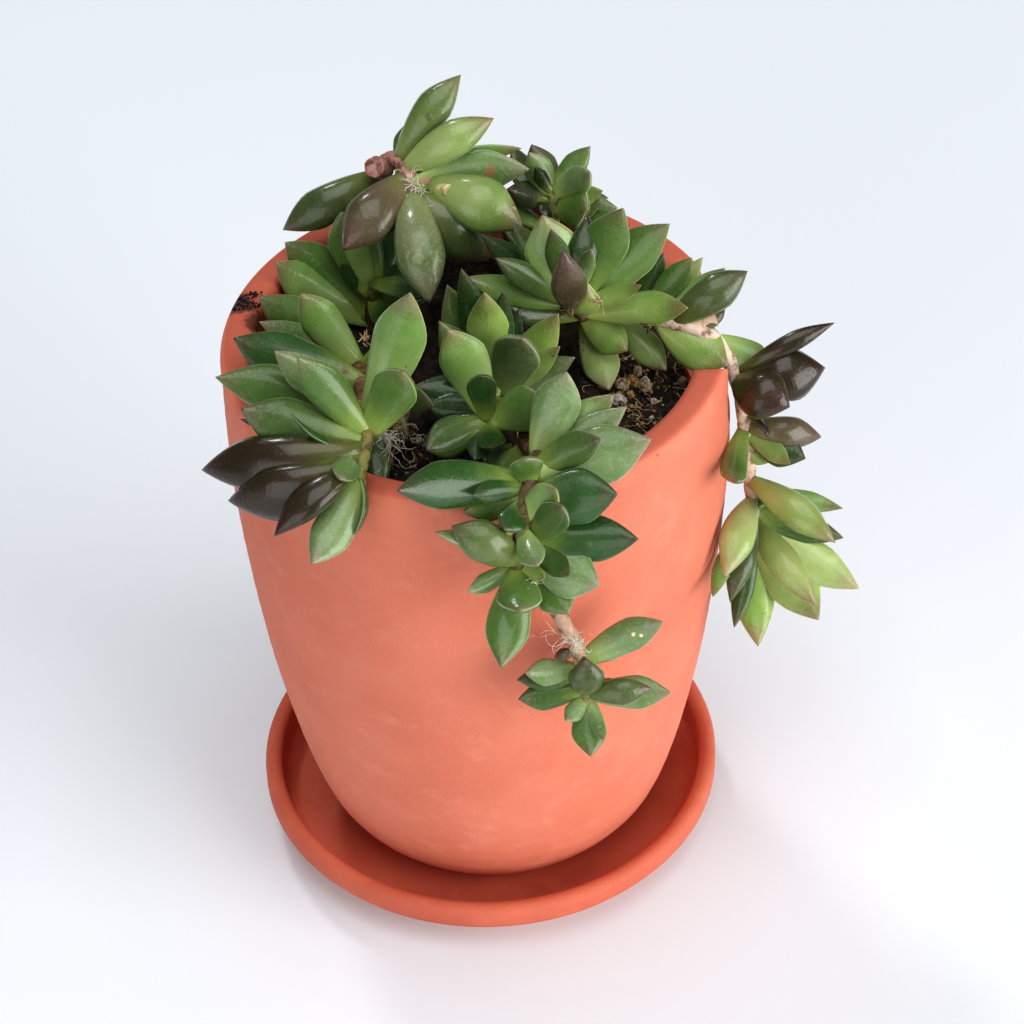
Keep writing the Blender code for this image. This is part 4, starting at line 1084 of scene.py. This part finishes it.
            (1, 1, -57, 24, 24.5, 7, "g", 180), (1, 1, -59, 6, 25.5, 11, "g"), (1, 1, -90, 0, 27, 9, "g"),
            (1, 0.95, -107, 22, 22.5, 6.5, "c", 180), (1, 0.92, -114, 35, 22, 7.5, "h", 180),
            (1, 1, -103, 8, 23.5, 5, "c"), (1, 0.95, -119, 41, 28, 4, "f"), (0, 0.85, 141, 2, 25, 6.5, "b"),
        ),
        "whorls": (
            (0, 0.45, 1, 12, 17, 7.5, 60, 255, (0, 2, 5, 7, 8, 9, 10, 11), "c"),
            (1, 0.2, 1, 18, 17, 7, 60, 180, (0, 1, 2, 3, 4, 5, 6, 7, 9, 10, 11, 12, 13, 15, 17), "c"),
        ),
    },
    "sprig_back": {
        "stems": (
            ((14, 30, 114), (17.5, 35, 130), (18.3, 37, 141)),
        ),
        "leaves": (
            (0, 1, 111, -8, 12, 7, "m"), (0, 1, 50, 2, 13, 5.5, "d"), (0, 1, 24, 44, 12, 6.5, "e"),
            (0, 0.94, 164, 14, 10.5, 6, "a"), (0, 0.97, 117, 22, 11.5, 6, "e"),
            (0, 0.91, -14, 48, 11, 9, "d"), (0, 0.94, 8, 20, 11.5, 4.5, "g"), (0, 0.88, 3, 16, 11, 6, "d"),
            (0, 0.88, -2, 4, 14, 6, "e"), (0, 0.97, 0, -22, 13, 5, "c"), (0, 1, 124, 34, 8, 3, "a"),
            (0, 0.97, 23, 20, 8.5, 3.5, "m"), (0, 0.91, -151, 30, 4, 4.5, "a"),
            (0, 0.85, -14, 15, 17.5, 4.5, "c"),
        ),
        "whorls": (
            (0, 0.5, 1, 12, 14, 7, 60, 105, (2, 4, 6, 7, 8, 9, 11), "c"),
        ),
    },
}


def paleFloor():
    finish = newFinish("paleFloor", Base_Color=rgb(226, 232, 238), Roughness=0.55, Metallic=0.0,
                       Specular_IOR_Level=0.3, Emission_Color=rgb(240, 247, 255), Emission_Strength=0.1)[0]
    mesh = startMesh("floor", [(-3, -3, 0), (3, -3, 0), (3, 3, 0), (-3, 3, 0)], faces=[(0, 1, 2, 3)])
    mesh.materials.append(finish)
    floor = linked("floor", mesh)
    floor.location.z = -0.0002


lightSettings = {
    "world": 0.13,
    "lamps": (  # name, place and aim in metres, size, power, colour
        ("windowRight", (1.5, -0.95, 0.5), (0.0, 0.0, 0.08), 1.5, 36.0, (1.0, 0.99, 0.97)),
        ("wallLeft", (-0.8, -1.5, 0.5), (0.0, 0.0, 0.08), 1.4, 10.0, (0.97, 0.98, 1.0)),
        ("ceiling", (0.1, -0.45, 1.9), (0.0, 0.0, 0.1), 1.4, 15.0, (1.0, 1.0, 1.0)),
        ("skylightBehind", (-0.5, 1.0, 1.5), (0.0, 0.0, 0.1), 0.26, 5.5, (1.0, 1.0, 1.0)),
    ),
}


def studioLight():
    world = bpy.data.worlds.new("paleRoom")
    world.use_nodes = True
    back = world.node_tree.nodes["Background"]
    back.inputs["Color"].default_value = (1.0, 1.0, 1.0, 1)
    back.inputs["Strength"].default_value = lightSettings["world"]
    bpy.context.scene.world = world
    for name, place, aim, size, power, colour in lightSettings["lamps"]:
        data = bpy.data.lights.new(name, "AREA")
        data.size, data.energy, data.color = size, power, colour
        lamp = linked(name, data)
        lamp.location = place
        lamp.rotation_euler = (Vector(aim) - Vector(place)).to_track_quat("-Z", "Y").to_euler()


# the camera that was fitted to the photo: place in metres, angles in degrees, lens in millimetres
cameraSettings = {"place": (0.0070, -0.5433, 0.5677), "down": 41.67, "roll": -2.17, "lens": 118.8,
                  "sensor": 36, "near": 0.05, "far": 20}


def photoCamera():
    settings = cameraSettings
    data = bpy.data.cameras.new("photoCamera")
    data.lens, data.sensor_width = settings["lens"], settings["sensor"]
    data.clip_start, data.clip_end = settings["near"], settings["far"]
    camera = linked("photoCamera", data)
    tilt = Matrix.Rotation(radians(90 - settings["down"]), 4, "X")
    roll = Matrix.Rotation(radians(settings["roll"]), 4, "Z")
    camera.matrix_world = Matrix.Translation(settings["place"]) @ (tilt @ roll)
    bpy.context.scene.camera = camera


def main():
    bpy.context.scene.view_settings.view_transform = "Standard"
    bpy.context.scene.view_settings.look = "Medium High Contrast"
    trees = {"lathe": latheTree(), "leaf": leafTree(), "strand": threadTree(), "stone": stoneTree()}
    finishes = {"leaf": leafFinish(), "stem": barkFinish(), "stone": stoneFinish()}
    potClay = clayFinish("potTerracotta", "pot", potSize["centre"])
    saucerClay = clayFinish("saucerTerracotta", "saucer")
    print("trees and finishes made")
    total = placed(makeSaucer(trees["lathe"], saucerClay), "terracotta_saucer", "saucer")
    total += placed(makePot(trees["lathe"], potClay), "terracotta_pot", "pot")
    total += placed(makeSoil(soilFinish()), "earth", "soil")
    pumice = [((x, y, soilHeight(x, y) + sizes[2] * 0.4), sizes, tint)
              for (x, y), sizes, tint in groundStones]
    total += placed(makeStones("pumice", pumice, trees["stone"], finishes["stone"], 4), "earth", "soil")
    total += placed(makeStones("grit", groundGrit(), trees["stone"], finishes["stone"], 2), "earth", "soil")
    fibres = strands("fibres", groundFibres(), trees["strand"], Finish=finishes["stem"],
                     Sides=fibreSettings["sides"])
    total += placed(fibres, "earth", "soil")
    for name, sprig in sprigs.items():
        foliage, wood = makeSprig(name, sprig, trees, finishes)
        total += placed(foliage, "leaves", name) + placed(wood, "leaves", name)
        if name in hairSpots:
            hairs = makeHairs(name, hairSpots[name], trees["strand"], finishes["stem"])
            total += placed(hairs, "leaves", name)
    print(f"{total} triangles in all")
    paleFloor()
    studioLight()
    photoCamera()


main()
